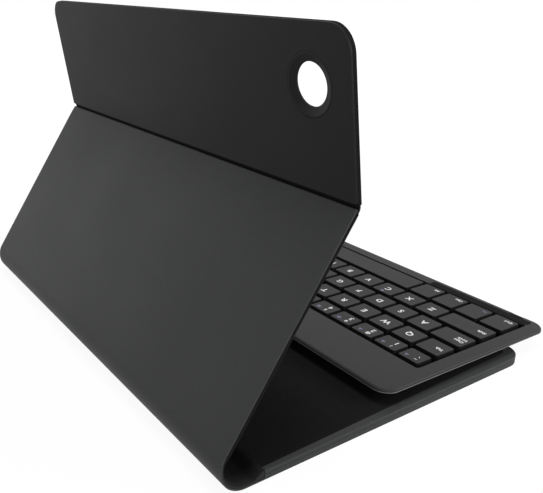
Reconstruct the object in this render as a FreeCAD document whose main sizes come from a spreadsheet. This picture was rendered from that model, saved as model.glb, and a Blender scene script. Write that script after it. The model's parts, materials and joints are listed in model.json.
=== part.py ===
"""Folding keyboard case for a flat handheld device, standing open as in use.

Frame: +X to the user's right, the user at -Y, +Z up, the floor at Z = 0.
Lengths are millimetres and angles are degrees.
"""
import FreeCAD, Part
import math
import os
import Sketcher
from types import SimpleNamespace

Vector = FreeCAD.Vector
X_AXIS = Vector(1, 0, 0)
Y_AXIS = Vector(0, 1, 0)
Z_AXIS = Vector(0, 0, 1)
SAME_PLACE = 1e-6

DRIVING_SIZES = (
    ("key_pitch", 15.6, "one letter key and its gap, left to right"),
    ("key_block_pitches", 14.63, "width of the key block in letter keys"),
    ("key_gap", 2.2, "gap between key tops, left to right"),
    ("key_row_gap", 3.5, "gap between key tops, front to back"),
    ("letter_key_depth", 12.8, "key top of a letter row, front to back"),
    ("number_key_depth", 10.2, "key top of the number row"),
    ("bottom_key_depth", 15.0, "key top of the bottom row"),
    ("key_flare", 0.5, "how far a key's skirt stands out past its top"),
    ("key_corner_radius", 1.6, "corner of a key's skirt, seen from above"),
    ("key_top_rounding", 0.4, "rounding of a key's top edge"),
    ("key_wall", 1.0, "wall of the hollow key cap"),
    ("key_roof", 1.2, "top of the hollow key cap"),
    ("key_rise", 0.5, "key top above the case's rim"),
    ("key_travel", 1.3, "how far a key goes down"),
    ("key_floor_clearance", 0.2, "left under a pressed key"),
    ("well_clearance", 2.0, "between the key skirts and the wall of the key well"),
    ("side_margin", 9.65, "case beside the key block"),
    ("front_margin", 10.5, "case in front of the key block"),
    ("rear_margin", 30.6, "case behind the key block"),
    ("keyboard_thickness", 5.6, "cover and case together"),
    ("keyboard_corner_radius", 8.0, "corners of the keyboard, seen from above"),
    ("keyboard_front_height", 4.8, "floor to the keyboard's underside at its front edge"),
    ("keyboard_tilt", 1.0, "slope of the keyboard, rear side higher"),
    ("keyboard_overhang", 23.7, "keyboard's front edge past the base's front edge"),
    ("cover_height", 3.7, "bottom cover, up to the top case's lower edge"),
    ("cover_taper", 7.0, "how far the bottom cover's sides lean in"),
    ("cover_thickness", 1.2, "floor of the bottom cover"),
    ("case_wall", 5.6, "keyboard's outline to the space inside it"),
    ("case_roof", 1.4, "roof of the top case"),
    ("case_rounding", 1.2, "top case's upper edge"),
    ("plate_thickness", 0.4, "steel plate under the keys"),
    ("plate_margin", 2.6, "plate past the key block on every side"),
    ("membrane_thickness", 0.3, "contact membrane"),
    ("dome_foot_radius", 3.0, "rubber dome at the membrane"),
    ("dome_top_radius", 1.6, "rubber dome under the key"),
    ("dome_clearance", 0.05, "between a dome and its key"),
    ("battery_length", 76.0, "battery cell, left to right"),
    ("battery_depth", 13.6, "battery cell, front to back"),
    ("battery_thickness", 2.4, "battery cell"),
    ("board_length", 53.0, "controller board, left to right"),
    ("board_depth", 13.6, "controller board, front to back"),
    ("board_thickness", 0.7, "controller board"),
    ("chip_side", 7.0, "main chip on the controller board"),
    ("chip_thickness", 0.9, "main chip on the controller board"),
    ("tail_width", 16.0, "membrane's tail"),
    ("tail_thickness", 0.15, "membrane's tail"),
    ("tail_overlap", 3.0, "tail on the membrane and on the controller board"),
    ("socket_width", 8.9, "charging socket's shell"),
    ("socket_height", 2.8, "charging socket's shell"),
    ("socket_length", 8.2, "charging socket's shell"),
    ("socket_wall", 0.3, "charging socket's shell"),
    ("socket_corner_radius", 1.3, "charging socket's shell"),
    ("port_wall", 1.6, "block in the bottom cover round the charging socket"),
    ("fit_clearance", 0.1, "between pieces that fit together"),
    ("notch_width", 7.0, "switch notch in the front rim"),
    ("notch_depth", 1.2, "switch notch, from the front edge inwards"),
    ("notch_side_distance", 16.65, "middle of the notch from the keyboard's left side"),
    ("slider_width", 2.4, "switch slider"),
    ("slider_height", 1.4, "switch slider"),
    ("slider_travel", 2.5, "switch slider from off to on"),
    ("switch_depth", 2.1, "switch body, front to back"),
    ("switch_height", 2.6, "switch body"),
    ("lens_diameter", 1.6, "status light lens"),
    ("lens_spacing", 4.0, "between status light lenses"),
    ("lens_count", 3, "status light lenses"),
    ("lens_inset", 6.0, "last lens from the controller board's end"),
    ("screw_head_diameter", 2.8, "cover screw"),
    ("screw_head_height", 0.6, "cover screw"),
    ("screw_shank_diameter", 1.4, "cover screw"),
    ("screw_length", 3.2, "cover screw with its head"),
    ("boss_diameter", 3.4, "screw boss inside the top case"),
    ("front_boss_spacing", 88.0, "between screw bosses behind the keys"),
    ("rear_boss_spacing", 112.0, "between screw bosses along the rear"),
    ("magnet_diameter", 8.0, "holding and closing magnets"),
    ("magnet_thickness", 1.0, "holding and closing magnets"),
    ("keyboard_magnet_gap", 8.0, "battery's end to the holding magnet"),
    ("foot_length", 60.0, "rubber foot, left to right"),
    ("foot_depth", 6.0, "rubber foot, front to back"),
    ("foot_side_distance", 12.0, "rubber foot from the keyboard's side"),
    ("front_foot_distance", 34.0, "front foot's middle from the keyboard's front edge"),
    ("rear_foot_distance", 104.0, "rear foot's middle from the keyboard's front edge"),
    ("panel_margin", 3.55, "cover panels past the keyboard on either side"),
    ("panel_corner_radius", 10.0, "free corners of the cover panels"),
    ("fold_corner_radius", 1.2, "corners of the cover panels at a fold"),
    ("edge_rounding", 0.9, "cover panels' edges"),
    ("edge_turn", 1.6, "outer skin turned up round a panel's board"),
    ("skin_thickness", 0.8, "outer skin"),
    ("lining_thickness", 0.6, "inner lining"),
    ("panel_board_thickness", 1.1, "board of the stand and upper panels"),
    ("base_board_thickness", 3.0, "board of the base panel"),
    ("base_depth", 162.5, "base panel, front to back"),
    ("spine_flat", 8.9, "soft spine that lies flat behind the base panel"),
    ("spine_radius", 11.7, "outside radius of the soft spine's bend"),
    ("stand_angle", 56.2, "stand panel's slope from level"),
    ("stand_length", 100.7, "stand panel's outside, spine bend to crease corner"),
    ("upper_length", 64.6, "upper panel's outside, crease corner to top edge"),
    ("upper_lean", 8.85, "upper panel's lean back from upright"),
    ("crease_axis_depth", 1.6, "crease's fold line from the outside faces"),
    ("crease_half_gap", 1.35, "panel edge from the crease's fold line"),
    ("crease_cord_diameter", 1.8, "soft cord in the crease"),
    ("window_side_distance", 21.7, "camera window's middle from the panel's left side"),
    ("window_height", 42.2, "camera window's middle above the crease corner"),
    ("window_diameter", 16.3, "camera window"),
    ("bezel_diameter", 24.0, "bezel round the camera window"),
    ("bezel_land", 0.7, "flat rim of the bezel"),
    ("bezel_throat", 0.9, "straight part of the window, behind the slope"),
    ("lining_window_margin", 0.6, "lining's window past the bezel's"),
    ("grip_pad_length", 180.0, "grip pad, left to right"),
    ("grip_pad_width", 40.0, "grip pad, bottom to top"),
    ("grip_pad_thickness", 0.6, "grip pad"),
    ("grip_pad_corner_radius", 5.0, "grip pad's corners"),
    ("grip_pad_height", 12.0, "grip pad's lower edge above the crease corner"),
    ("grip_pad_window_gap", 7.0, "grip pad's left end from the bezel"),
    ("closing_magnet_inset", 12.0, "closing magnet's middle from the panel's free edge"),
    ("closing_magnet_spacing", 120.0, "between a panel's two closing magnets"),
    ("steel_margin", 35.0, "steel plate in the base, past the holding magnets' middles"),
    ("steel_depth", 40.0, "steel plate in the base, front to back"),
    ("steel_thickness", 0.5, "steel plate in the base"),
)

# A key row: its group's name, its depth, the caps at its left end and their widths in
# letter keys, then the widths of the other caps. One more cap fills each row's right end.
KEY_ROWS = (
    (
        "keys_bottom_row",
        "bottom_key_depth",
        (("key_ctrl", 1), ("key_fn", 1), ("key_option", 1), ("key_alt", 1), ("key_space", 5.6)),
        (1, 1, 1, 1),
    ),
    (
        "keys_lower_row",
        "letter_key_depth",
        (("key_shift", 1.85), ("key_z", 1), ("key_x", 1), ("key_c", 1)),
        (1, 1, 1, 1, 1, 1, 1, 1.8),
    ),
    (
        "keys_home_row",
        "letter_key_depth",
        (("key_caps", 1.3), ("key_a", 1), ("key_s", 1), ("key_d", 1)),
        (1, 1, 1, 1, 1, 1, 1, 1),
    ),
    (
        "keys_upper_row",
        "letter_key_depth",
        (("key_tab", 1), ("key_q", 1), ("key_w", 1)),
        (1, 1, 1, 1, 1, 1, 1, 1, 1, 1),
    ),
    (
        "keys_number_row",
        "number_key_depth",
        (("key_grave", 0.9), ("key_1", 1)),
        (1, 1, 1, 1, 1, 1, 1, 1, 1, 1, 1),
    ),
)


class Size:
    """A size that holds both its number and the sheet formula that gives it."""

    def __init__(self, number, formula):
        self.number = number
        self.formula = formula

    def __add__(self, other):
        other = as_size(other)
        return Size(self.number + other.number, f"({self.formula} + {other.formula})")

    def __sub__(self, other):
        other = as_size(other)
        return Size(self.number - other.number, f"({self.formula} - {other.formula})")

    def __mul__(self, other):
        other = as_size(other)
        return Size(self.number * other.number, f"({self.formula} * {other.formula})")

    def __truediv__(self, other):
        other = as_size(other)
        return Size(self.number / other.number, f"({self.formula} / {other.formula})")

    def __neg__(self):
        return Size(-self.number, f"(-1 * {self.formula})")


def as_size(value):
    if isinstance(value, Size):
        return value
    return Size(value, repr(value))


doc = FreeCAD.newDocument("keyboard_case")
sheet = doc.addObject("Spreadsheet::Sheet", "Sizes")
size = SimpleNamespace()
for row_number, (alias, value, meaning) in enumerate(DRIVING_SIZES, start=1):
    sheet.set(f"A{row_number}", meaning)
    sheet.set(f"B{row_number}", str(value))
    sheet.setAlias(f"B{row_number}", alias)
    setattr(size, alias, Size(value, f"Sizes.{alias}"))
doc.recompute()

nodes = []


def add_node(feature, label, place):
    """Name a finished piece, put it in its place and keep it for writing."""
    feature.Label = label
    feature.Placement = place
    nodes.append(feature)


def shifted(place, x, y, z):
    """A place moved along its own axes."""
    return place.multiply(FreeCAD.Placement(Vector(x, y, z), FreeCAD.Rotation()))


def bind(feature, **sizes):
    for property_name, amount in sizes.items():
        feature.setExpression(property_name, as_size(amount).formula)


def new_body(name):
    return doc.addObject("PartDesign::Body", f"{name}_body")


def new_sketch(body, height=0.0):
    """A sketch on the body's own XY plane, lifted to a height."""
    plane = next(f for f in body.Origin.OriginFeatures if f.Role == "XY_Plane")
    sketch = body.newObject("Sketcher::SketchObject", f"{body.Name}_sketch")
    sketch.AttachmentSupport = [(plane, "")]
    sketch.MapMode = "FlatFace"
    sketch.AttachmentOffset = FreeCAD.Placement(Vector(0, 0, as_size(height).number), FreeCAD.Rotation())
    if isinstance(height, Size):
        sketch.setExpression("AttachmentOffset.Base.z", height.formula)
    return sketch


def constrain(sketch, name, amount, *what):
    index = sketch.addConstraint(Sketcher.Constraint(*what, amount.number))
    sketch.renameConstraint(index, name)
    sketch.setExpression(f"Constraints.{name}", amount.formula)


def draw_rounded_rectangle(sketch, left, front, width, depth, front_radius, rear_radius):
    """Four sides and four corner arcs, with one radius in front and one behind."""
    x0 = left.number
    x1 = x0 + width.number
    y0 = front.number
    y1 = y0 + depth.number
    rf = front_radius.number
    rr = rear_radius.number
    quarter = math.pi / 2

    def side(xa, ya, xb, yb):
        return Part.LineSegment(Vector(xa, ya, 0), Vector(xb, yb, 0))

    def corner(x, y, radius, first_quarter):
        circle = Part.Circle(Vector(x, y, 0), Z_AXIS, radius)
        return Part.ArcOfCircle(circle, first_quarter * quarter, (first_quarter + 1) * quarter)

    sketch.addGeometry(
        [
            side(x0 + rf, y0, x1 - rf, y0),
            corner(x1 - rf, y0 + rf, rf, 3),
            side(x1, y0 + rf, x1, y1 - rr),
            corner(x1 - rr, y1 - rr, rr, 0),
            side(x1 - rr, y1, x0 + rr, y1),
            corner(x0 + rr, y1 - rr, rr, 1),
            side(x0, y1 - rr, x0, y0 + rf),
            corner(x0 + rf, y0 + rf, rf, 2),
        ],
        False,
    )
    for piece in range(8):
        sketch.addConstraint(Sketcher.Constraint("Tangent", piece, 2, (piece + 1) % 8, 1))
    for level in (0, 4):
        sketch.addConstraint(Sketcher.Constraint("Horizontal", level))
    for upright in (2, 6):
        sketch.addConstraint(Sketcher.Constraint("Vertical", upright))
    sketch.addConstraint(Sketcher.Constraint("Equal", 1, 7))
    sketch.addConstraint(Sketcher.Constraint("Equal", 3, 5))
    constrain(sketch, "front_radius", front_radius, "Radius", 1)
    constrain(sketch, "rear_radius", rear_radius, "Radius", 3)
    constrain(sketch, "left", left, "DistanceX", -1, 1, 6, 2)
    constrain(sketch, "front", front, "DistanceY", -1, 1, 0, 1)
    constrain(sketch, "width", width, "DistanceX", 6, 2, 2, 1)
    constrain(sketch, "depth", depth, "DistanceY", 0, 1, 4, 1)


def draw_rectangle(sketch, left, front, width, depth):
    x0 = left.number
    y0 = front.number
    corners = [
        Vector(x0, y0, 0),
        Vector(x0 + width.number, y0, 0),
        Vector(x0 + width.number, y0 + depth.number, 0),
        Vector(x0, y0 + depth.number, 0),
    ]
    sketch.addGeometry([Part.LineSegment(corners[i], corners[(i + 1) % 4]) for i in range(4)], False)
    for side in range(4):
        sketch.addConstraint(Sketcher.Constraint("Coincident", side, 2, (side + 1) % 4, 1))
    for level in (0, 2):
        sketch.addConstraint(Sketcher.Constraint("Horizontal", level))
    for upright in (1, 3):
        sketch.addConstraint(Sketcher.Constraint("Vertical", upright))
    constrain(sketch, "left", left, "DistanceX", -1, 1, 0, 1)
    constrain(sketch, "front", front, "DistanceY", -1, 1, 0, 1)
    constrain(sketch, "width", width, "DistanceX", 0, 1, 0, 2)
    constrain(sketch, "depth", depth, "DistanceY", 1, 1, 1, 2)


def draw_circles(sketch, centres, diameter):
    """Circles of one diameter; called again on a sketch, it adds more."""
    first = sketch.GeometryCount
    for index, (x, y) in enumerate(centres, start=first):
        sketch.addGeometry(Part.Circle(Vector(x.number, y.number, 0), Z_AXIS, diameter.number / 2))
        constrain(sketch, f"across_{index}", diameter, "Diameter", index)
        constrain(sketch, f"along_x_{index}", x, "DistanceX", -1, 1, index, 3)
        constrain(sketch, f"along_y_{index}", y, "DistanceY", -1, 1, index, 3)


def pad(body, sketch, height):
    feature = body.newObject("PartDesign::Pad", f"{body.Name}_pad")
    feature.Profile = sketch
    bind(feature, Length=height)
    doc.recompute([feature])
    return feature


def cut_upwards(body, sketch, height):
    """Remove the sketched shape from the sketch's level upwards."""
    before = body.Tip.Shape.Volume
    feature = body.newObject("PartDesign::Pocket", f"{body.Name}_pocket")
    feature.Profile = sketch
    feature.Reversed = True
    bind(feature, Length=height)
    doc.recompute([feature])
    if feature.Shape.Volume >= before:
        raise RuntimeError(f"{feature.Name} cut nothing")


def round_edges(body, radius, chosen):
    """Fillet the edges of the body's last feature that the test picks."""
    base = body.Tip
    names = [f"Edge{i}" for i, edge in enumerate(base.Shape.Edges, start=1) if chosen(edge)]
    feature = body.newObject("PartDesign::Fillet", f"{body.Name}_fillet")
    feature.Base = (base, names)
    bind(feature, Radius=radius)
    doc.recompute([feature])


def both_near(first, last, wanted):
    return abs(first - wanted) < SAME_PLACE and abs(last - wanted) < SAME_PLACE


def lies_at(edge, height):
    box = edge.BoundBox
    return both_near(box.ZMin, box.ZMax, height.number)


def block(name, length, width, height, left, front, bottom):
    piece = doc.addObject("Part::Box", name)
    bind(piece, Length=length, Width=width, Height=height)
    piece.setExpression("Placement.Base.x", as_size(left).formula)
    piece.setExpression("Placement.Base.y", as_size(front).formula)
    piece.setExpression("Placement.Base.z", as_size(bottom).formula)
    return piece


def post(name, diameter, height, x, y, bottom):
    piece = doc.addObject("Part::Cylinder", name)
    bind(piece, Radius=diameter / 2, Height=height)
    piece.setExpression("Placement.Base.x", as_size(x).formula)
    piece.setExpression("Placement.Base.y", as_size(y).formula)
    piece.setExpression("Placement.Base.z", as_size(bottom).formula)
    return piece


def cut(name, base, tool):
    piece = doc.addObject("Part::Cut", name)
    piece.Base = base
    piece.Tool = tool
    return piece


def fuse(name, pieces):
    joined = doc.addObject("Part::MultiFuse", name)
    joined.Shapes = pieces
    return joined


def group(name, pieces):
    together = doc.addObject("Part::Compound", name)
    together.Links = pieces
    return together


# Sizes that follow from the driving ones
ZERO = as_size(0.0)
key_block_width = size.key_block_pitches * size.key_pitch - size.key_gap
keyboard_width = key_block_width + size.side_margin * 2
key_block_depth = (
    size.bottom_key_depth + size.letter_key_depth * 3 + size.number_key_depth + size.key_row_gap * 4
)
key_block_rear = size.front_margin + key_block_depth
keyboard_depth = key_block_rear + size.rear_margin
case_height = size.keyboard_thickness - size.cover_height
cavity_height = case_height - size.case_roof
plate_top = size.cover_thickness + size.plate_thickness
membrane_top = plate_top + size.membrane_thickness
key_bottom = membrane_top + size.key_travel + size.key_floor_clearance
key_height = size.keyboard_thickness + size.key_rise - key_bottom
panel_width = keyboard_width + size.panel_margin * 2
panel_thickness = size.skin_thickness + size.panel_board_thickness + size.lining_thickness
base_thickness = size.skin_thickness + size.base_board_thickness + size.lining_thickness

# Places: one for each of the four rigid parts
spine_bend = 180 - size.stand_angle.number
crease_turn = spine_bend - (90 - size.upper_lean.number)
crease_shift = size.crease_axis_depth.number * math.tan(math.radians(crease_turn / 2))
keyboard_reach = size.spine_flat + size.base_depth + size.keyboard_overhang
spine_y = (keyboard_reach.number - size.spine_radius.number) / 2
slope = math.radians(size.stand_angle.number)
spine_radius = size.spine_radius.number

base_place = FreeCAD.Placement(Vector(0, spine_y, 0), FreeCAD.Rotation())
stand_place = FreeCAD.Placement(
    Vector(0, spine_y + spine_radius * math.sin(slope), spine_radius * (1 + math.cos(slope))),
    FreeCAD.Rotation(X_AXIS, spine_bend),
)
crease_y = size.stand_length + crease_shift
crease_point = stand_place.multVec(Vector(0, crease_y.number, size.crease_axis_depth.number))
upper_turn = FreeCAD.Rotation(X_AXIS, 90 - size.upper_lean.number)
upper_place = FreeCAD.Placement(
    crease_point - upper_turn.multVec(Vector(0, 0, size.crease_axis_depth.number)),
    upper_turn,
)
keyboard_place = FreeCAD.Placement(
    Vector(0, spine_y - keyboard_reach.number, size.keyboard_front_height.number),
    FreeCAD.Rotation(X_AXIS, size.keyboard_tilt.number),
)


def cover_panel(name, front, depth, board_thickness, front_radius, rear_radius, free_ends):
    """One stiff panel of the cover: a skin turned up round a board, and a lining inside.

    The panel lies on its outer face. Returns the bodies before their places are set.
    """
    thickness = size.skin_thickness + board_thickness + size.lining_thickness
    left = -panel_width / 2
    rear = front + depth

    def inset_sketch(body, inset, height=0.0):
        sketch = new_sketch(body, height)
        radii = []
        for radius, is_free in ((front_radius, free_ends[0]), (rear_radius, free_ends[1])):
            radii.append(radius - inset if is_free else radius)
        draw_rounded_rectangle(
            sketch, left + inset, front + inset, panel_width - inset * 2, depth - inset * 2, *radii
        )
        return sketch

    def on_free_edge(edge):
        box = edge.BoundBox
        at_front = both_near(box.YMin, box.YMax, front.number)
        at_rear = both_near(box.YMin, box.YMax, rear.number)
        return (not at_front or free_ends[0]) and (not at_rear or free_ends[1])

    skin = new_body(f"{name}_skin")
    sketch = new_sketch(skin)
    draw_rounded_rectangle(sketch, left, front, panel_width, depth, front_radius, rear_radius)
    pad(skin, sketch, thickness)
    round_edges(
        skin,
        size.edge_rounding,
        lambda edge: (lies_at(edge, ZERO) or lies_at(edge, thickness)) and on_free_edge(edge),
    )
    cut_upwards(skin, inset_sketch(skin, size.edge_turn, size.skin_thickness), thickness)

    board = new_body(f"{name}_board")
    pad(board, inset_sketch(board, size.edge_turn + size.fit_clearance), board_thickness)
    lining = new_body(f"{name}_lining")
    pad(lining, inset_sketch(lining, size.edge_turn + size.fit_clearance), size.lining_thickness)
    return skin, board, lining


def place_panel(name, place, skin, board, lining, board_thickness):
    lining_level = size.skin_thickness + board_thickness
    add_node(skin, f"{name}_skin", place)
    add_node(board, f"{name}_board", shifted(place, 0, 0, size.skin_thickness.number))
    add_node(lining, f"{name}_lining", shifted(place, 0, 0, lining_level.number))


def make_base():
    front = -(size.spine_flat + size.base_depth)
    skin, board, lining = cover_panel(
        "base",
        front,
        size.base_depth,
        size.base_board_thickness,
        size.panel_corner_radius,
        size.fold_corner_radius,
        (True, False),
    )
    # A steel plate let into the board, under the keyboard's holding magnets at both stops
    magnet_x = size.battery_length / 2 + size.keyboard_magnet_gap
    steel_front = front - size.keyboard_overhang + keyboard_depth - size.rear_margin / 2
    steel_level = size.base_board_thickness - size.steel_thickness
    seat_sketch = new_sketch(board, steel_level)
    steel_length = (magnet_x + size.steel_margin) * 2
    draw_rectangle(
        seat_sketch,
        -steel_length / 2 - size.fit_clearance,
        steel_front - size.fit_clearance,
        steel_length + size.fit_clearance * 2,
        size.steel_depth + size.fit_clearance * 2,
    )
    cut_upwards(board, seat_sketch, size.steel_thickness)
    steel = block(
        "steel",
        steel_length,
        size.steel_depth,
        size.steel_thickness,
        -steel_length / 2,
        steel_front,
        steel_level,
    )
    magnets = closing_magnets("base", board, front + size.closing_magnet_inset, size.base_board_thickness)
    place_panel("base", base_place, skin, board, lining, size.base_board_thickness)
    board_place = shifted(base_place, 0, 0, size.skin_thickness.number)
    add_node(group("base_steel", [steel]), "base_steel_plate", board_place)
    add_node(magnets, "base_closing_magnets", board_place)


def closing_magnets(name, board, along, board_thickness):
    """Two magnets in holes through a panel's board, along its free edge."""
    across = size.closing_magnet_spacing / 2
    sketch = new_sketch(board)
    draw_circles(sketch, [(-across, along), (across, along)], size.magnet_diameter + size.fit_clearance * 2)
    cut_upwards(board, sketch, board_thickness)
    discs = [
        post(f"{name}_magnet", size.magnet_diameter, size.magnet_thickness, x, along, ZERO)
        for x in (-across, across)
    ]
    return group(f"{name}_magnets", discs)


def make_spine():
    """The soft spine: two layers that lie flat behind the base, then bend up to the stand."""
    outer_radius = size.spine_radius
    level = ZERO
    for layer, thickness in (("skin", size.skin_thickness), ("lining", size.lining_thickness)):
        pipes = []
        for part_name, radius in (("outside", outer_radius), ("inside", outer_radius - thickness)):
            pipe = doc.addObject("Part::Cylinder", f"spine_{layer}_{part_name}")
            bind(pipe, Radius=radius, Height=panel_width)
            pipe.setExpression("Angle", f"180 - {size.stand_angle.formula}")
            pipe.Placement = FreeCAD.Placement(
                Vector(-panel_width.number / 2, 0, spine_radius), FreeCAD.Rotation(Y_AXIS, 90)
            )
            pipes.append(pipe)
        bend = cut(f"spine_{layer}_bend", *pipes)
        flat = block(
            f"spine_{layer}_flat",
            panel_width,
            size.spine_flat,
            thickness,
            -panel_width / 2,
            -size.spine_flat,
            level,
        )
        add_node(fuse(f"spine_{layer}_strip", [flat, bend]), f"spine_{layer}", base_place)
        outer_radius = outer_radius - thickness
        level = level + thickness


def make_stand():
    depth = crease_y - size.crease_half_gap
    pieces = cover_panel(
        "stand",
        ZERO,
        depth,
        size.panel_board_thickness,
        size.fold_corner_radius,
        size.fold_corner_radius,
        (False, False),
    )
    place_panel("stand", stand_place, *pieces, size.panel_board_thickness)
    cord = doc.addObject("Part::Cylinder", "crease")
    bind(cord, Radius=size.crease_cord_diameter / 2, Height=panel_width)
    add_node(
        cord,
        "crease_cord",
        FreeCAD.Placement(
            Vector(-panel_width.number / 2, crease_point.y, crease_point.z), FreeCAD.Rotation(Y_AXIS, 90)
        ),
    )


def make_upper():
    end = size.upper_length + crease_shift
    window_x = size.window_side_distance - panel_width / 2
    window_y = size.window_height + crease_shift
    centre = [(window_x, window_y)]
    skin, board, lining = cover_panel(
        "upper",
        size.crease_half_gap,
        end - size.crease_half_gap,
        size.panel_board_thickness,
        size.fold_corner_radius,
        size.panel_corner_radius,
        (False, True),
    )
    seat_diameter = size.bezel_diameter + size.fit_clearance * 2
    lining_diameter = size.window_diameter + size.lining_window_margin * 2
    for body, diameter in ((skin, seat_diameter), (board, seat_diameter), (lining, lining_diameter)):
        sketch = new_sketch(body)
        draw_circles(sketch, centre, diameter)
        cut_upwards(body, sketch, panel_thickness)
    magnets = closing_magnets(
        "upper", board, end - size.closing_magnet_inset, size.panel_board_thickness
    )
    place_panel("upper", upper_place, skin, board, lining, size.panel_board_thickness)
    add_node(magnets, "upper_closing_magnets", shifted(upper_place, 0, 0, size.skin_thickness.number))

    bezel_height = size.skin_thickness + size.panel_board_thickness
    disc = post("bezel_disc", size.bezel_diameter, bezel_height, window_x, window_y, ZERO)
    throat = post("bezel_throat", size.window_diameter, bezel_height, window_x, window_y, ZERO)
    funnel = doc.addObject("Part::Cone", "bezel_funnel")
    bind(
        funnel,
        Radius1=size.bezel_diameter / 2 - size.bezel_land,
        Radius2=size.window_diameter / 2,
        Height=bezel_height - size.bezel_throat,
    )
    funnel.setExpression("Placement.Base.x", window_x.formula)
    funnel.setExpression("Placement.Base.y", window_y.formula)
    ring = cut("bezel_ring", cut("bezel_with_throat", disc, throat), funnel)
    add_node(ring, "camera_bezel", upper_place)

    pad_left = window_x + size.bezel_diameter / 2 + size.grip_pad_window_gap
    grip = new_body("grip")
    sketch = new_sketch(grip)
    draw_rounded_rectangle(
        sketch,
        pad_left,
        size.grip_pad_height + crease_shift,
        size.grip_pad_length,
        size.grip_pad_width,
        size.grip_pad_corner_radius,
        size.grip_pad_corner_radius,
    )
    pad(grip, sketch, size.grip_pad_thickness)
    add_node(grip, "grip_pad", shifted(upper_place, 0, 0, panel_thickness.number))


# Where the screws, the switch, the socket and the rear bay's pieces go inside the keyboard
plate_left = -key_block_width / 2 - size.plate_margin
plate_front = size.front_margin - size.plate_margin
plate_rear = key_block_rear + size.plate_margin
front_boss_y = plate_rear + size.fit_clearance + size.boss_diameter / 2
rear_boss_y = keyboard_depth - size.cover_taper - size.fit_clearance * 2 - size.screw_head_diameter / 2
bay_middle = (front_boss_y + rear_boss_y) / 2
boss_centres = [
    (spacing * step, y)
    for spacing, y in ((size.front_boss_spacing, front_boss_y), (size.rear_boss_spacing, rear_boss_y))
    for step in (-1, 0, 1)
]
switch_x = size.notch_side_distance - keyboard_width / 2
slot_height = size.slider_height + size.fit_clearance * 2
slot_level = (size.switch_height - slot_height) / 2
socket_front = keyboard_width / 2 - size.fit_clearance
board_right = socket_front - size.socket_length - size.fit_clearance
board_left = board_right - size.board_length
board_front = bay_middle - size.board_depth / 2
board_top = size.cover_thickness + size.board_thickness


def lens_centres():
    last_x = board_right - size.lens_inset
    y = board_front + size.board_depth - size.lens_inset
    return [(last_x - size.lens_spacing * step, y) for step in range(size.lens_count.number)]


def draw_socket_hole(sketch):
    draw_rectangle(
        sketch,
        socket_front - size.socket_length,
        bay_middle - size.socket_width / 2 - size.fit_clearance,
        size.socket_length * 2,
        size.socket_width + size.fit_clearance * 2,
    )


def make_case():
    """Top case: a thin lid with one open well for all the keys."""
    case = new_body("case")
    left = -keyboard_width / 2
    radius = size.keyboard_corner_radius
    sketch = new_sketch(case)
    draw_rounded_rectangle(sketch, left, ZERO, keyboard_width, keyboard_depth, radius, radius)
    pad(case, sketch, case_height)
    round_edges(case, size.case_rounding, lambda edge: lies_at(edge, case_height))

    wall = size.case_wall
    cavity = new_sketch(case)
    draw_rounded_rectangle(
        cavity,
        left + wall,
        wall,
        keyboard_width - wall * 2,
        keyboard_depth - wall * 2,
        radius - wall,
        radius - wall,
    )
    cut_upwards(case, cavity, cavity_height)

    margin = size.key_flare + size.well_clearance
    well = new_sketch(case)
    draw_rounded_rectangle(
        well,
        -key_block_width / 2 - margin,
        size.front_margin - margin,
        key_block_width + margin * 2,
        key_block_depth + margin * 2,
        size.key_corner_radius,
        size.key_corner_radius,
    )
    cut_upwards(case, well, case_height)

    boss_drop = size.cover_height - size.cover_thickness
    bosses = new_sketch(case, -boss_drop)
    draw_circles(bosses, boss_centres, size.boss_diameter)
    draw_circles(bosses, boss_centres, size.screw_shank_diameter + size.fit_clearance)
    pad(case, bosses, boss_drop + cavity_height)

    notch = new_sketch(case)
    draw_rectangle(notch, switch_x - size.notch_width / 2, -wall, size.notch_width, wall + size.notch_depth)
    cut_upwards(case, notch, case_height)
    socket_hole = new_sketch(case)
    draw_socket_hole(socket_hole)
    cut_upwards(case, socket_hole, size.cover_thickness + size.socket_height - size.cover_height)

    lens_holes = new_sketch(case)
    draw_circles(lens_holes, lens_centres(), size.lens_diameter + size.fit_clearance)
    cut_upwards(case, lens_holes, case_height)
    add_node(case, "keyboard_top_case", shifted(keyboard_place, 0, 0, size.cover_height.number))


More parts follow.
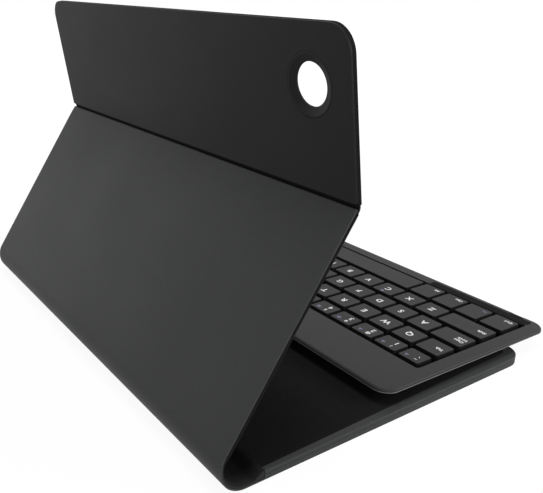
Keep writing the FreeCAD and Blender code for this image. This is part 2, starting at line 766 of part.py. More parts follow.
def make_cover():
    """Bottom cover: a tray with sides that lean in, and a block round the charging socket."""
    cover = new_body("cover")

    def inset_sketch(inset, height):
        sketch = new_sketch(cover, height)
        radius = size.keyboard_corner_radius - inset
        draw_rounded_rectangle(
            sketch,
            inset - keyboard_width / 2,
            inset,
            keyboard_width - inset * 2,
            keyboard_depth - inset * 2,
            radius,
            radius,
        )
        return sketch

    body_of_cover = pad(cover, inset_sketch(size.cover_taper, ZERO), size.cover_height)
    lean = size.cover_taper / size.cover_height
    body_of_cover.setExpression("TaperAngle", f"atan{lean.formula}")
    doc.recompute([body_of_cover])

    block_level = size.cover_thickness - size.socket_wall * 2
    block_width = size.socket_width + size.port_wall * 2
    port_block = new_sketch(cover, block_level)
    draw_rectangle(
        port_block,
        socket_front - size.cover_taper,
        bay_middle - block_width / 2,
        size.cover_taper,
        block_width,
    )
    pad(cover, port_block, size.cover_height - block_level)
    cut_upwards(cover, inset_sketch(size.case_wall, size.cover_thickness), size.cover_height)
    socket_hole = new_sketch(cover, size.cover_thickness)
    draw_socket_hole(socket_hole)
    cut_upwards(cover, socket_hole, size.cover_height)

    slot_width = size.slider_width + size.slider_travel + size.fit_clearance * 4
    slot = new_sketch(cover, size.cover_thickness + slot_level)
    draw_rectangle(slot, switch_x - slot_width / 2, ZERO, slot_width, size.cover_taper)
    cut_upwards(cover, slot, slot_height)

    shanks = new_sketch(cover)
    draw_circles(shanks, boss_centres, size.screw_shank_diameter + size.fit_clearance)
    cut_upwards(cover, shanks, size.cover_thickness)
    heads = new_sketch(cover)
    draw_circles(heads, boss_centres, size.screw_head_diameter + size.fit_clearance)
    cut_upwards(cover, heads, size.screw_head_height)
    add_node(cover, "keyboard_bottom_cover", keyboard_place)

    screws = []
    for x, y in boss_centres:
        head = post("screw_head", size.screw_head_diameter, size.screw_head_height, x, y, ZERO)
        shank = post("screw_shank", size.screw_shank_diameter, size.screw_length, x, y, ZERO)
        screws.append(fuse("screw", [head, shank]))
    add_node(group("screws", screws), "cover_screws", keyboard_place)


def make_key_layers():
    """Steel plate and contact membrane, one on the other under all the keys."""
    width = key_block_width + size.plate_margin * 2
    depth = key_block_depth + size.plate_margin * 2
    plate = block("plate", width, depth, size.plate_thickness, plate_left, plate_front, size.cover_thickness)
    add_node(group("plates", [plate]), "key_support_plate", keyboard_place)
    membrane = block("membrane", width, depth, size.membrane_thickness, plate_left, plate_front, plate_top)
    add_node(group("membranes", [membrane]), "key_membrane", keyboard_place)


def key_cap(name, width, depth):
    """A hollow cap, centred, standing on its skirt; its top has the given width and depth."""
    cap = new_body(name)
    skirt_width = width + size.key_flare * 2
    skirt_depth = depth + size.key_flare * 2
    sketch = new_sketch(cap)
    corner = size.key_corner_radius
    draw_rounded_rectangle(
        sketch, -skirt_width / 2, -skirt_depth / 2, skirt_width, skirt_depth, corner, corner
    )
    body_of_cap = pad(cap, sketch, key_height)
    body_of_cap.setExpression("TaperAngle", f"-atan({size.key_flare.formula} / {key_height.formula})")
    doc.recompute([body_of_cap])
    round_edges(cap, size.key_top_rounding, lambda edge: lies_at(edge, key_height))
    hollow = new_sketch(cap)
    draw_rectangle(
        hollow,
        size.key_wall - width / 2,
        size.key_wall - depth / 2,
        width - size.key_wall * 2,
        depth - size.key_wall * 2,
    )
    cut_upwards(cap, hollow, key_height - size.key_roof)
    return cap


def make_keys():
    """Five rows of caps, each cap on a rubber dome."""
    domes = []
    dome_height = key_bottom + key_height - size.key_roof - size.dome_clearance - membrane_top
    row_front = size.front_margin
    for group_name, depth_name, named_caps, other_widths in KEY_ROWS:
        depth = getattr(size, depth_name)
        widths = [width for name, width in named_caps] + list(other_widths)
        cells = [size.key_pitch * width for width in widths]
        cells.append((size.key_block_pitches - sum(widths)) * size.key_pitch)
        left = -key_block_width / 2
        rest_of_row = []
        for index, cell in enumerate(cells):
            width = cell - size.key_gap
            x = left + width / 2
            y = row_front + depth / 2
            named = index < len(named_caps)
            name = named_caps[index][0] if named else f"{group_name}_cap"
            cap = key_cap(name, width, depth)
            cap_shift = (x.number, y.number, key_bottom.number)
            if named:
                add_node(cap, name, shifted(keyboard_place, *cap_shift))
            else:
                cap.Placement = FreeCAD.Placement(Vector(*cap_shift), FreeCAD.Rotation())
                rest_of_row.append(cap)
            dome = doc.addObject("Part::Cone", "dome")
            bind(dome, Radius1=size.dome_foot_radius, Radius2=size.dome_top_radius, Height=dome_height)
            dome.Placement = FreeCAD.Placement(
                Vector(x.number, y.number, membrane_top.number), FreeCAD.Rotation()
            )
            domes.append(dome)
            left = left + cell
        add_node(group(f"{group_name}_caps", rest_of_row), group_name, keyboard_place)
        row_front = row_front + depth + size.key_row_gap
    add_node(group("domes", domes), "rubber_domes", keyboard_place)


def make_electronics():
    """Battery, controller board with its tail and socket, light lenses, and the switch."""
    floor = size.cover_thickness
    battery = block(
        "battery",
        size.battery_length,
        size.battery_depth,
        size.battery_thickness,
        -size.battery_length / 2,
        bay_middle - size.battery_depth / 2,
        floor,
    )
    add_node(group("battery_cells", [battery]), "battery_cell", keyboard_place)

    board = block(
        "board", size.board_length, size.board_depth, size.board_thickness, board_left, board_front, floor
    )
    chip = block(
        "chip",
        size.chip_side,
        size.chip_side,
        size.chip_thickness,
        board_left + size.board_length / 2,
        bay_middle - size.chip_side / 2,
        board_top,
    )
    add_node(fuse("board_with_chip", [board, chip]), "controller_board", keyboard_place)

    tail_front = plate_rear - size.tail_overlap
    tail = block(
        "tail",
        size.tail_width,
        board_front + size.tail_overlap - tail_front,
        size.tail_thickness,
        board_left + size.tail_overlap,
        tail_front,
        membrane_top,
    )
    add_node(group("tails", [tail]), "membrane_tail", keyboard_place)

    socket = new_body("socket")
    outline = new_sketch(socket)
    radius = size.socket_corner_radius
    wall = size.socket_wall
    draw_rounded_rectangle(
        outline,
        -size.socket_height / 2,
        -size.socket_width / 2,
        size.socket_height,
        size.socket_width,
        radius,
        radius,
    )
    pad(socket, outline, size.socket_length)
    mouth = new_sketch(socket, wall)
    draw_rounded_rectangle(
        mouth,
        wall - size.socket_height / 2,
        wall - size.socket_width / 2,
        size.socket_height - wall * 2,
        size.socket_width - wall * 2,
        radius - wall,
        radius - wall,
    )
    cut_upwards(socket, mouth, size.socket_length)
    socket_start = Vector(
        (socket_front - size.socket_length).number,
        bay_middle.number,
        (floor + size.socket_height / 2).number,
    )
    socket_place = FreeCAD.Placement(socket_start, FreeCAD.Rotation(Y_AXIS, 90))
    add_node(socket, "charging_socket", keyboard_place.multiply(socket_place))

    lens_height = size.keyboard_thickness - board_top
    lenses = [post("lens", size.lens_diameter, lens_height, x, y, board_top) for x, y in lens_centres()]
    add_node(group("lenses", lenses), "status_light_lenses", keyboard_place)

    switch_front = size.case_wall + size.fit_clearance
    body_width = size.notch_width
    switch = block(
        "switch",
        body_width,
        size.switch_depth,
        size.switch_height,
        switch_x - body_width / 2,
        switch_front,
        floor,
    )
    add_node(group("switches", [switch]), "switch_body", keyboard_place)
    slider_depth = size.case_wall - size.notch_depth / 2
    slider = block(
        "slider",
        size.slider_width,
        slider_depth,
        size.slider_height,
        switch_x - (size.slider_width + size.slider_travel) / 2,
        switch_front - size.fit_clearance - slider_depth,
        floor + slot_level + size.fit_clearance,
    )
    add_node(group("sliders", [slider]), "switch_slider", keyboard_place)


def make_magnets_and_feet():
    magnet_x = size.battery_length / 2 + size.keyboard_magnet_gap
    discs = [
        post("disc", size.magnet_diameter, size.magnet_thickness, x, bay_middle, size.cover_thickness)
        for x in (-magnet_x, magnet_x)
    ]
    add_node(group("discs", discs), "keyboard_magnets", keyboard_place)

    rise = math.tan(math.radians(size.keyboard_tilt.number))
    foot_x = keyboard_width / 2 - size.foot_side_distance - size.foot_length
    for name, distance in (("front_feet", size.front_foot_distance), ("rear_feet", size.rear_foot_distance)):
        front_edge = distance - size.foot_depth / 2
        height = size.keyboard_front_height + front_edge * rise - base_thickness - size.fit_clearance
        feet = [
            block(f"{name}_strip", size.foot_length, size.foot_depth, height, left, front_edge, -height)
            for left in (foot_x, -foot_x - size.foot_length)
        ]
        add_node(group(f"{name}_pair", feet), name, keyboard_place)


make_base()
make_spine()
make_stand()
make_upper()
make_cover()
make_case()
make_key_layers()
make_keys()
make_electronics()
make_magnets_and_feet()
doc.recompute()

for item in doc.Objects:
    if "Invalid" in item.State or "Error" in item.State:
        raise RuntimeError(f"{item.Name} failed: {item.State}")
for node in nodes:
    if node.Shape.isNull() or not node.Shape.isValid() or not node.Shape.Solids:
        raise RuntimeError(f"{node.Label} has no sound shape")

os.makedirs("parts", exist_ok=True)
for node in nodes:
    node.Shape.exportStep(f"parts/{node.Label}.step")
print(len(nodes), "nodes written")
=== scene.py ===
# %% [markdown]
# # A folding keyboard case, dressed for a photograph
#
# This lesson takes the engineering parts of a folding keyboard case and makes
# them look like the real thing: a coated fabric cover that wraps round a spine,
# a slim plastic keyboard lying in it, and printed key letters.
# The hard parts arrive already modelled. Our work is the soft cover, the small
# trims, the print, the finishes, the camera and the light.

# %% Load the frame
import json
import math

import bmesh
import bpy
from mathutils import Matrix, Vector


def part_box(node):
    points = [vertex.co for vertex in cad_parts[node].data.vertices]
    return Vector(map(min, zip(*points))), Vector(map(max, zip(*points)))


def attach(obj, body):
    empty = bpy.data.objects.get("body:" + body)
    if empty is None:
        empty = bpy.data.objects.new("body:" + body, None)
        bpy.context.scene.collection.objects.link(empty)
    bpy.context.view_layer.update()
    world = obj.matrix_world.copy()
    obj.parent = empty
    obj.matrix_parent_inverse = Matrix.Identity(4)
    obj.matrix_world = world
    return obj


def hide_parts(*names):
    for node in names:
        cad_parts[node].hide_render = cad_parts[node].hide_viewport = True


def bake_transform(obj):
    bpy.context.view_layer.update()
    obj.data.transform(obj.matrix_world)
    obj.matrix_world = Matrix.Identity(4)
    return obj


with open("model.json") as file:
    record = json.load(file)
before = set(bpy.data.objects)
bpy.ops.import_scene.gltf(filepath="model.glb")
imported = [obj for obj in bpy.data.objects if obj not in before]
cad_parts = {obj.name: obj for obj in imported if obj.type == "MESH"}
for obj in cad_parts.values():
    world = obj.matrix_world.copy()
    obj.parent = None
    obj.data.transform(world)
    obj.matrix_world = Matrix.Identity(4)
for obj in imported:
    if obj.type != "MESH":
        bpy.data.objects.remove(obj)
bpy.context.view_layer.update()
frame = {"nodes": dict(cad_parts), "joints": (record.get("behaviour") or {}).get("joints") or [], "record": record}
MM = 0.001
TINY = 0.00001

# %% [markdown]
# ## Where the folds are
#
# The cover folds on two lines: the spine at the back of the base, and a crease
# across the prop. The joints of the frame already know both places and both
# angles, so we read them there instead of writing the numbers twice.

# %% Read the folds from the joints
joints = {joint["name"]: joint for joint in frame["joints"]}
spine_axis = Vector(joints["spine_fold"]["pos_m"])
crease_axis = Vector(joints["crease_fold"]["pos_m"])
press_axis = Vector(joints["key_a_press"]["axis"])
SPINE_RADIUS = spine_axis.z
SPINE_TURN = math.pi - math.radians(joints["spine_fold"]["range_deg"][1])
CREASE_TURN = math.radians(joints["crease_fold"]["range_deg"][1])
KEYBOARD_TILT = math.atan2(press_axis.y, -press_axis.z)

stand_turn = Matrix.Rotation(SPINE_TURN, 4, "X")
upper_turn = Matrix.Rotation(SPINE_TURN - CREASE_TURN, 4, "X")
keyboard_turn = Matrix.Rotation(KEYBOARD_TILT, 4, "X")
stand_along = stand_turn @ Vector((0, 1, 0))
spine_end = spine_axis - stand_turn @ Vector((0, 0, SPINE_RADIUS))
print("spine turns", round(math.degrees(SPINE_TURN), 1), "degrees")

# %% [markdown]
# ## The camera
#
# The case is seen from behind and to one side, a little above, with a normal
# lens. The small sideways shift moves the picture without turning the camera,
# so the upright edges keep their slant.

# %% Place the camera
CAMERA_PLACE = Vector((-295.8, 220.5, 180.2)) * MM
CAMERA_LOOK = Vector((0.7838, -0.5083, -0.3567))

camera_data = bpy.data.cameras.new("camera")
camera_data.lens = 46.39
camera_data.sensor_width = 36
camera_data.shift_x = 0.1246
camera_data.shift_y = -0.0083
camera = bpy.data.objects.new("camera", camera_data)
camera.location = CAMERA_PLACE
camera.rotation_euler = CAMERA_LOOK.to_track_quat("-Z", "Y").to_euler()
bpy.context.scene.collection.objects.link(camera)
bpy.context.scene.camera = camera
print("camera looks along", [round(part, 3) for part in CAMERA_LOOK])

# %% [markdown]
# ## Building shaders with few words
#
# A finish is a small tree of nodes. A few helpers keep the trees readable: they
# add a node, start a group with its sockets, stretch a value to a range, do a
# step of arithmetic, and write a grey.

# %% Helpers for finishes
def add_node(tree, kind, inputs=None, **settings):
    """Add one node, set its plain properties and fill its input sockets."""
    made = tree.nodes.new(kind)
    for name, value in settings.items():
        setattr(made, name, value)
    for socket, value in (inputs or {}).items():
        made.inputs[socket].default_value = value
    return made


def start_group(name, inputs, outputs):
    """Start a node group with named sockets; return it with its two ends."""
    group = bpy.data.node_groups.new(name, "ShaderNodeTree")
    for label, kind, value in inputs:
        socket = group.interface.new_socket(label, in_out="INPUT", socket_type=kind)
        if value is not None:
            socket.default_value = value
    for label in outputs:
        group.interface.new_socket(label, in_out="OUTPUT", socket_type="NodeSocketFloat")
    return group, group.nodes.new("NodeGroupInput"), group.nodes.new("NodeGroupOutput")


def stretched(tree, value, ends):
    """Stretch a value to another range, given the ends that aren't 0 and 1."""
    stretch = add_node(tree, "ShaderNodeMapRange", ends)
    tree.links.new(value, stretch.inputs["Value"])
    return stretch.outputs["Result"]


def calculate(tree, operation, *values):
    """Put one or two values through a step of arithmetic."""
    step = add_node(tree, "ShaderNodeMath", operation=operation)
    for place, value in enumerate(values):
        tree.links.new(value, step.inputs[place])
    return step.outputs["Value"]


def grey(value, warmth=0.0):
    """A grey with a slight warm (above 0) or cool (below 0) cast."""
    return (value * (1 + warmth), value, value * (1 - warmth), 1)


# %% [markdown]
# ## One grain for every surface
#
# Coated fabric, moulded plastic and brushed lining all carry a fine relief: a
# pattern of small rounded cells, softened by noise. Their shade is mottled, and
# they shine in slow clouds where the coat is thicker or has been handled. One
# group puts out all three, and each finish sets the size of the cells and how much
# of each it takes.

# %% Group: relief, mottling and handling
grain, grain_in, grain_out = start_group(
    "fine_grain",
    [("Place", "NodeSocketVector", None), ("Cells per metre", "NodeSocketFloat", 900.0)],
    ["Relief", "Mottle", "Handling"],
)
cells = add_node(grain, "ShaderNodeTexVoronoi", {"Smoothness": 0.7}, feature="SMOOTH_F1")
fuzz = add_node(grain, "ShaderNodeTexNoise", {"Detail": 3})
cloud = add_node(grain, "ShaderNodeTexNoise", {"Scale": 16, "Detail": 4})
mottle = add_node(grain, "ShaderNodeTexNoise", {"Scale": 420, "Detail": 2})
for texture in (cells, fuzz, cloud, mottle):
    grain.links.new(grain_in.outputs["Place"], texture.inputs["Vector"])
for texture in (cells, fuzz):
    grain.links.new(grain_in.outputs["Cells per metre"], texture.inputs["Scale"])
FUZZ_SHARE = 0.6
both = add_node(grain, "ShaderNodeMath", {1: FUZZ_SHARE}, operation="MULTIPLY_ADD")
grain.links.new(fuzz.outputs["Fac"], both.inputs[0])
grain.links.new(cells.outputs["Distance"], both.inputs[2])
grain.links.new(both.outputs["Value"], grain_out.inputs["Relief"])
grain.links.new(mottle.outputs["Fac"], grain_out.inputs["Mottle"])
grain.links.new(cloud.outputs["Fac"], grain_out.inputs["Handling"])
print("grain group has", len(grain.nodes), "nodes")

# %% [markdown]
# ## The finishes
#
# Each finish takes the same four steps: find the place on the surface, look up
# the grain there, mix two close shades by the mottling, and let the relief and
# the handling change the normal and the gloss a little. The cover's grain is
# looked up on the sheet as it lay flat, so that it bends with the sheet.

# %% Make a finish
RELIEF_DEPTH = 0.1 * MM


def new_finish(name, dark, light, rough, cells_per_metre, relief, flat=False, **fixed):
    """A grained finish between two shades and two roughness values."""
    finish = bpy.data.materials.new(name)
    finish.use_nodes = True
    tree = finish.node_tree
    shader = tree.nodes["Principled BSDF"]
    if flat:
        place = add_node(tree, "ShaderNodeAttribute", attribute_name="lay_flat").outputs["Vector"]
    else:
        place = add_node(tree, "ShaderNodeTexCoord").outputs["Object"]
    surface = add_node(tree, "ShaderNodeGroup", node_tree=grain)
    surface.inputs["Cells per metre"].default_value = cells_per_metre
    tree.links.new(place, surface.inputs["Place"])

    shade = add_node(tree, "ShaderNodeMix", {"A": dark, "B": light}, data_type="RGBA")
    tree.links.new(surface.outputs["Mottle"], shade.inputs["Factor"])
    tree.links.new(shade.outputs["Result"], shader.inputs["Base Color"])
    gloss = stretched(tree, surface.outputs["Handling"], {"To Min": rough[0], "To Max": rough[1]})
    tree.links.new(gloss, shader.inputs["Roughness"])

    bump = add_node(tree, "ShaderNodeBump", {"Strength": relief, "Distance": RELIEF_DEPTH})
    tree.links.new(surface.outputs["Relief"], bump.inputs["Height"])
    tree.links.new(bump.outputs["Normal"], shader.inputs["Normal"])
    for label, value in fixed.items():
        shader.inputs[label.replace("_", " ")].default_value = value
    return finish


# %% Finishes of the cover
coated_cover = new_finish(
    "coated_cover", (0.027, 0.0285, 0.0278, 1), (0.035, 0.0365, 0.0358, 1),
    rough=(0.52, 0.66), cells_per_metre=1500, relief=0.12, flat=True, Specular_IOR_Level=0.2,
)
# Painted shade: the upper panel takes the cover's coated fabric in a darker grey, as the panel faces slightly
# downward and gets less light.
panel_coat_painted_shade = new_finish(
    "panel_coat_painted_shade", grey(0.0115), grey(0.016),
    rough=(0.50, 0.62), cells_per_metre=1500, relief=0.08, flat=True, Specular_IOR_Level=0.11,
)
# The lining's near-black is partly its own dark colour and partly painted shade over the inside of the case.
brushed_lining = new_finish(
    "brushed_lining", grey(0.005), grey(0.009),
    rough=(0.85, 1.0), cells_per_metre=2600, relief=0.25, flat=True, Specular_IOR_Level=0.08,
)
crease_fabric = new_finish(
    "crease_fabric", grey(0.005), grey(0.009),
    rough=(0.8, 0.95), cells_per_metre=2400, relief=0.3, Specular_IOR_Level=0.08,
)
bezel_plastic = new_finish(
    "bezel_plastic", grey(0.006), grey(0.010),
    rough=(0.45, 0.58), cells_per_metre=3000, relief=0.06, Specular_IOR_Level=0.12,
)
pad_rubber = new_finish(
    "pad_rubber", grey(0.022), grey(0.032),
    rough=(0.62, 0.78), cells_per_metre=2200, relief=0.2, Specular_IOR_Level=0.2,
)
print("finishes with those of the cover", len(bpy.data.materials))

# %% Finishes of the keyboard
case_plastic = new_finish(
    "case_plastic", grey(0.034), grey(0.041),
    rough=(0.40, 0.52), cells_per_metre=3200, relief=0.10, Specular_IOR_Level=0.06,
)
tray_plastic = new_finish(
    "tray_plastic", grey(0.012), grey(0.018),
    rough=(0.45, 0.58), cells_per_metre=3200, relief=0.10, Specular_IOR_Level=0.15,
)
key_plastic = new_finish(
    "key_plastic", grey(0.036), grey(0.043),
    rough=(0.48, 0.62), cells_per_metre=3600, relief=0.12, Specular_IOR_Level=0.07,
)
white_print = new_finish(
    "white_print", grey(0.72), grey(0.82),
    rough=(0.5, 0.6), cells_per_metre=4000, relief=0.05,
)
blue_print = new_finish(
    "blue_print", (0.10, 0.10, 0.18, 1), (0.13, 0.13, 0.22, 1),
    rough=(0.5, 0.6), cells_per_metre=4000, relief=0.05,
)
black_film = new_finish(
    "black_film", grey(0.003), grey(0.005),
    rough=(0.6, 0.75), cells_per_metre=700, relief=0.05, Specular_IOR_Level=0.05,
)
lens_clear = new_finish(
    "lens_clear", grey(0.5), grey(0.6),
    rough=(0.1, 0.2), cells_per_metre=1200, relief=0.03,
)
foot_rubber = new_finish(
    "foot_rubber", grey(0.012), grey(0.020),
    rough=(0.7, 0.85), cells_per_metre=2000, relief=0.2, Specular_IOR_Level=0.2,
)
print("finishes with those of the keyboard", len(bpy.data.materials))

# %% Finishes of the hidden parts
board_fibre = new_finish(
    "board_fibre", grey(0.10, 0.05), grey(0.16, 0.05),
    rough=(0.8, 0.9), cells_per_metre=1800, relief=0.2,
)
plated_steel = new_finish(
    "plated_steel", grey(0.50), grey(0.60),
    rough=(0.25, 0.4), cells_per_metre=900, relief=0.05, Metallic=1.0,
)
magnet_plate = new_finish(
    "magnet_plate", grey(0.42), grey(0.5),
    rough=(0.2, 0.32), cells_per_metre=900, relief=0.05, Metallic=1.0,
)
dome_rubber = new_finish(
    "dome_rubber", grey(0.16), grey(0.22),
    rough=(0.6, 0.75), cells_per_metre=1500, relief=0.1,
)
cell_foil = new_finish(
    "cell_foil", grey(0.45), grey(0.52),
    rough=(0.3, 0.45), cells_per_metre=600, relief=0.1, Metallic=0.8,
)
board_green = new_finish(
    "board_green", (0.01, 0.06, 0.03, 1), (0.015, 0.09, 0.045, 1),
    rough=(0.3, 0.4), cells_per_metre=900, relief=0.1,
)
print("finishes", len(bpy.data.materials))

# %% [markdown]
# Three finishes change over the part, and each change is painted light. The key
# finish looks at which way the surface faces and colours the sides of the keys
# nearly black: painted shade, as the sides fall into shadow between the keys. The
# upper panel's edges are coloured black in the same way: painted shade on its
# rounded edges. The case finish paints a brighter band along the top case's lower
# edge, found by the height above the keyboard's own sloping plane: a painted
# highlight.

# %% Paint shade and a highlight into three finishes
def mix_in(finish, factor, colour):
    """Mix a second colour into a finish where a factor is 1."""
    tree = finish.node_tree
    shader = tree.nodes["Principled BSDF"]
    before = shader.inputs["Base Color"].links[0].from_socket
    mixed = add_node(tree, "ShaderNodeMix", {"B": colour}, data_type="RGBA")
    tree.links.new(factor, mixed.inputs["Factor"])
    tree.links.new(before, mixed.inputs["A"])
    tree.links.new(mixed.outputs["Result"], shader.inputs["Base Color"])


def part_along(finish, place, direction):
    """The part of a vector that lies along a direction."""
    tree = finish.node_tree
    along = add_node(tree, "ShaderNodeVectorMath", {1: direction}, operation="DOT_PRODUCT")
    tree.links.new(place, along.inputs[0])
    return along.outputs["Value"]


def surface_value(finish, socket):
    """The place or the normal at each point of the surface."""
    return add_node(finish.node_tree, "ShaderNodeTexCoord").outputs[socket]


def ramp(finish, value, start, end):
    """0 at the start value, 1 at the end value."""
    return stretched(finish.node_tree, value, {"From Min": start, "From Max": end})


TOP_FACING = 0.95
SIDE_FACING = 0.7


def paint_side_shade(finish, top_direction, painted_shade):
    """Painted shade: a darker colour on the faces that turn away from a top direction."""
    facing = part_along(finish, surface_value(finish, "Normal"), top_direction)
    mix_in(finish, ramp(finish, facing, TOP_FACING, SIDE_FACING), painted_shade)


# Painted shade: the sides of the keys are coloured nearly black where they turn away from the light.
KEY_SIDE_PAINTED_SHADE = grey(0.006)
PANEL_EDGE_PAINTED_SHADE = grey(0.004)
keyboard_up = keyboard_turn @ Vector((0, 0, 1))
panel_out = upper_turn @ Vector((0, 0, -1))
paint_side_shade(key_plastic, keyboard_up, KEY_SIDE_PAINTED_SHADE)
# Painted shade on the upper panel's rounded edges, which also keeps them from catching light.
paint_side_shade(panel_coat_painted_shade, panel_out, PANEL_EDGE_PAINTED_SHADE)

# Painted highlight: a lighter grey band along the top case's lower edge, standing in for the light that edge
# catches.
HIGHLIGHT_BAND_HEIGHT = 0.35 * MM
HIGHLIGHT_BAND_BLUR = 0.15 * MM
PAINTED_HIGHLIGHT = grey(0.18)
bottom_verts = frame["nodes"]["keyboard_bottom_cover"].data.vertices
case_lower_edge = max(vert.co.dot(keyboard_up) for vert in bottom_verts)
highlight_band_top = case_lower_edge + HIGHLIGHT_BAND_HEIGHT
case_height = part_along(case_plastic, surface_value(case_plastic, "Object"), keyboard_up)
mix_in(case_plastic, ramp(case_plastic, case_height, highlight_band_top + HIGHLIGHT_BAND_BLUR, highlight_band_top), PAINTED_HIGHLIGHT)
print("lip of the top case starts at", round(case_lower_edge / MM, 2), "mm")

# %% [markdown]
# ## Shapes in the flat
#
# The real cover is cut flat, glued up flat and then folded. We build it the
# same way. A rounded outline is a single face with bevelled corners; raising
# faces gives it thickness; a soft edge is a bevel along its rim.

# %% Helpers for flat work
CORNER_STEPS = 10


def rounded_outline(width, front, rear, front_radius, rear_radius):
    """A flat outline from front to rear with rounded corners."""
    shape = bmesh.new()
    bmesh.ops.create_grid(shape, x_segments=1, y_segments=1, size=0.5)
    bmesh.ops.scale(shape, vec=(width, rear - front, 1), verts=shape.verts)
    bmesh.ops.translate(shape, vec=(0, (front + rear) / 2, 0), verts=shape.verts)
    for end, radius in ((front, front_radius), (rear, rear_radius)):
        corners = [vert for vert in shape.verts if abs(vert.co.y - end) < TINY]
        bmesh.ops.bevel(
            shape, geom=corners, offset=radius, offset_type="OFFSET",
            segments=CORNER_STEPS, profile=0.5, affect="VERTICES", material=-1,
        )
    return shape


def cut_across(shape, places):
    """Cut a flat shape along lines of equal y."""
    for place in places:
        everything = list(shape.verts) + list(shape.edges) + list(shape.faces)
        bmesh.ops.bisect_plane(shape, geom=everything, plane_co=(0, place, 0), plane_no=(0, 1, 0))


def raise_faces(shape, faces, height, keep=False):
    """Raise faces straight up, with walls round them."""
    grown = bmesh.ops.extrude_face_region(shape, geom=faces, use_keep_orig=keep)
    tops = [made for made in grown["geom"] if isinstance(made, bmesh.types.BMVert)]
    bmesh.ops.translate(shape, vec=(0, 0, height), verts=tops)
    bmesh.ops.recalc_face_normals(shape, faces=shape.faces)


def soften(shape, edges, width, segments=3):
    """Round over some edges."""
    bmesh.ops.bevel(
        shape, geom=edges, offset=width, offset_type="OFFSET", segments=segments,
        profile=0.5, affect="EDGES", material=-1, clamp_overlap=True,
    )


def sharp_edges(shape, least=60):
    """The edges that turn by more than a number of degrees."""
    return [edge for edge in shape.edges if edge.calc_face_angle(0) > math.radians(least)]


def note_flat(shape):
    """Remember each point's place on the flat sheet, for the grain."""
    layer = shape.verts.layers.float_vector.new("lay_flat")
    for vert in shape.verts:
        vert[layer] = vert.co


SMOOTH_TURN = 50


def make_piece(name, shape, finish):
    """Turn a finished shape into a smooth-shaded piece."""
    bmesh.ops.recalc_face_normals(shape, faces=shape.faces)
    for face in shape.faces:
        face.smooth = True
    for edge in shape.edges:
        edge.smooth = edge.calc_face_angle(0) < math.radians(SMOOTH_TURN)
    mesh = bpy.data.meshes.new(name)
    shape.to_mesh(mesh)
    shape.free()
    mesh.materials.append(finish)
    piece = bpy.data.objects.new(name, mesh)
    bpy.context.scene.collection.objects.link(piece)
    even = piece.modifiers.new("even_normals", "WEIGHTED_NORMAL")
    even.keep_sharp = True
    print(name, "faces", len(mesh.polygons))
    return piece


# %% [markdown]
# ## The outer cover
#
# One sheet of coated fabric runs under the base, round the spine and up the
# prop. On the base its edges are turned up round a stiff board, so the sheet
# looks thick there. It ends just short of the crease.
#
# A Simple Deform modifier could bend the sheet too, but it bends all of it. Many
# small turns keep the flat parts flat and the sheet as long as it was cut. At
# each cut line everything beyond the line turns a little about it, and the points
# on the line turn half as much.

# %% Sizes of the cover
base_low, base_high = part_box("base_skin")
COVER_WIDTH = base_high.x - base_low.x
BASE_FRONT = base_low.y
BASE_REAR = base_high.y
BASE_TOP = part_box("base_lining")[1].z
SKIN = 0.8 * MM
SEAM = 0.05 * MM
SPINE_INSIDE = 1.4 * MM
PANEL = 2.5 * MM
BASE_SEAM = 2.4 * MM
FREE_CORNER = 10 * MM
FOLD_CORNER = 0.7 * MM
CREASE_DEPTH = 1.6 * MM
SKIN_TO_CREASE = 0.45 * MM
LINING_TO_CREASE = 1.35 * MM
EDGE_ROUNDING = 0.3 * MM
BASE_ROUNDING = 0.5 * MM
CREASE_ROUNDING = 0.6 * MM
SPINE_STEPS = 28

small_turn = SPINE_TURN / SPINE_STEPS
chord = 2 * SPINE_RADIUS * math.sin(small_turn / 2)
spine_lines = [spine_axis.y + step * chord for step in range(SPINE_STEPS + 1)]
stand_start = spine_lines[-1]
stand_reach = (crease_axis - spine_end).dot(stand_along)
print("stand reaches", round(stand_reach / MM, 2), "mm from the spine to the crease")

# %% Bend a flat sheet round the spine
def fold_at_spine(shape):
    """Turn the sheet up round the spine, a little at each cut line."""
    flat_place = {vert: vert.co.y for vert in shape.verts}
    for step, line in enumerate(spine_lines):
        at_end = step in (0, SPINE_STEPS)
        turn = small_turn / 2 if at_end else small_turn
        reached = step * small_turn
        pivot = spine_axis + SPINE_RADIUS * Vector((0, math.sin(reached), -math.cos(reached)))
        on_line = [vert for vert, place in flat_place.items() if abs(place - line) < TINY]
        beyond = [vert for vert, place in flat_place.items() if place - line >= TINY]
        for share, moved in ((1, beyond), (0.5, on_line)):
            bmesh.ops.rotate(shape, cent=pivot, matrix=Matrix.Rotation(turn * share, 3, "X"), verts=moved)


LOOKS_UP = 0.9


def upward_faces(shape, lowest, nearest, farthest):
    """Faces that look up, above a height and between two places."""
    chosen = []
    for face in shape.faces:
        middle = face.calc_center_median()
        if face.normal.z > LOOKS_UP and middle.z > lowest and nearest < middle.y < farthest:
            chosen.append(face)
    return chosen


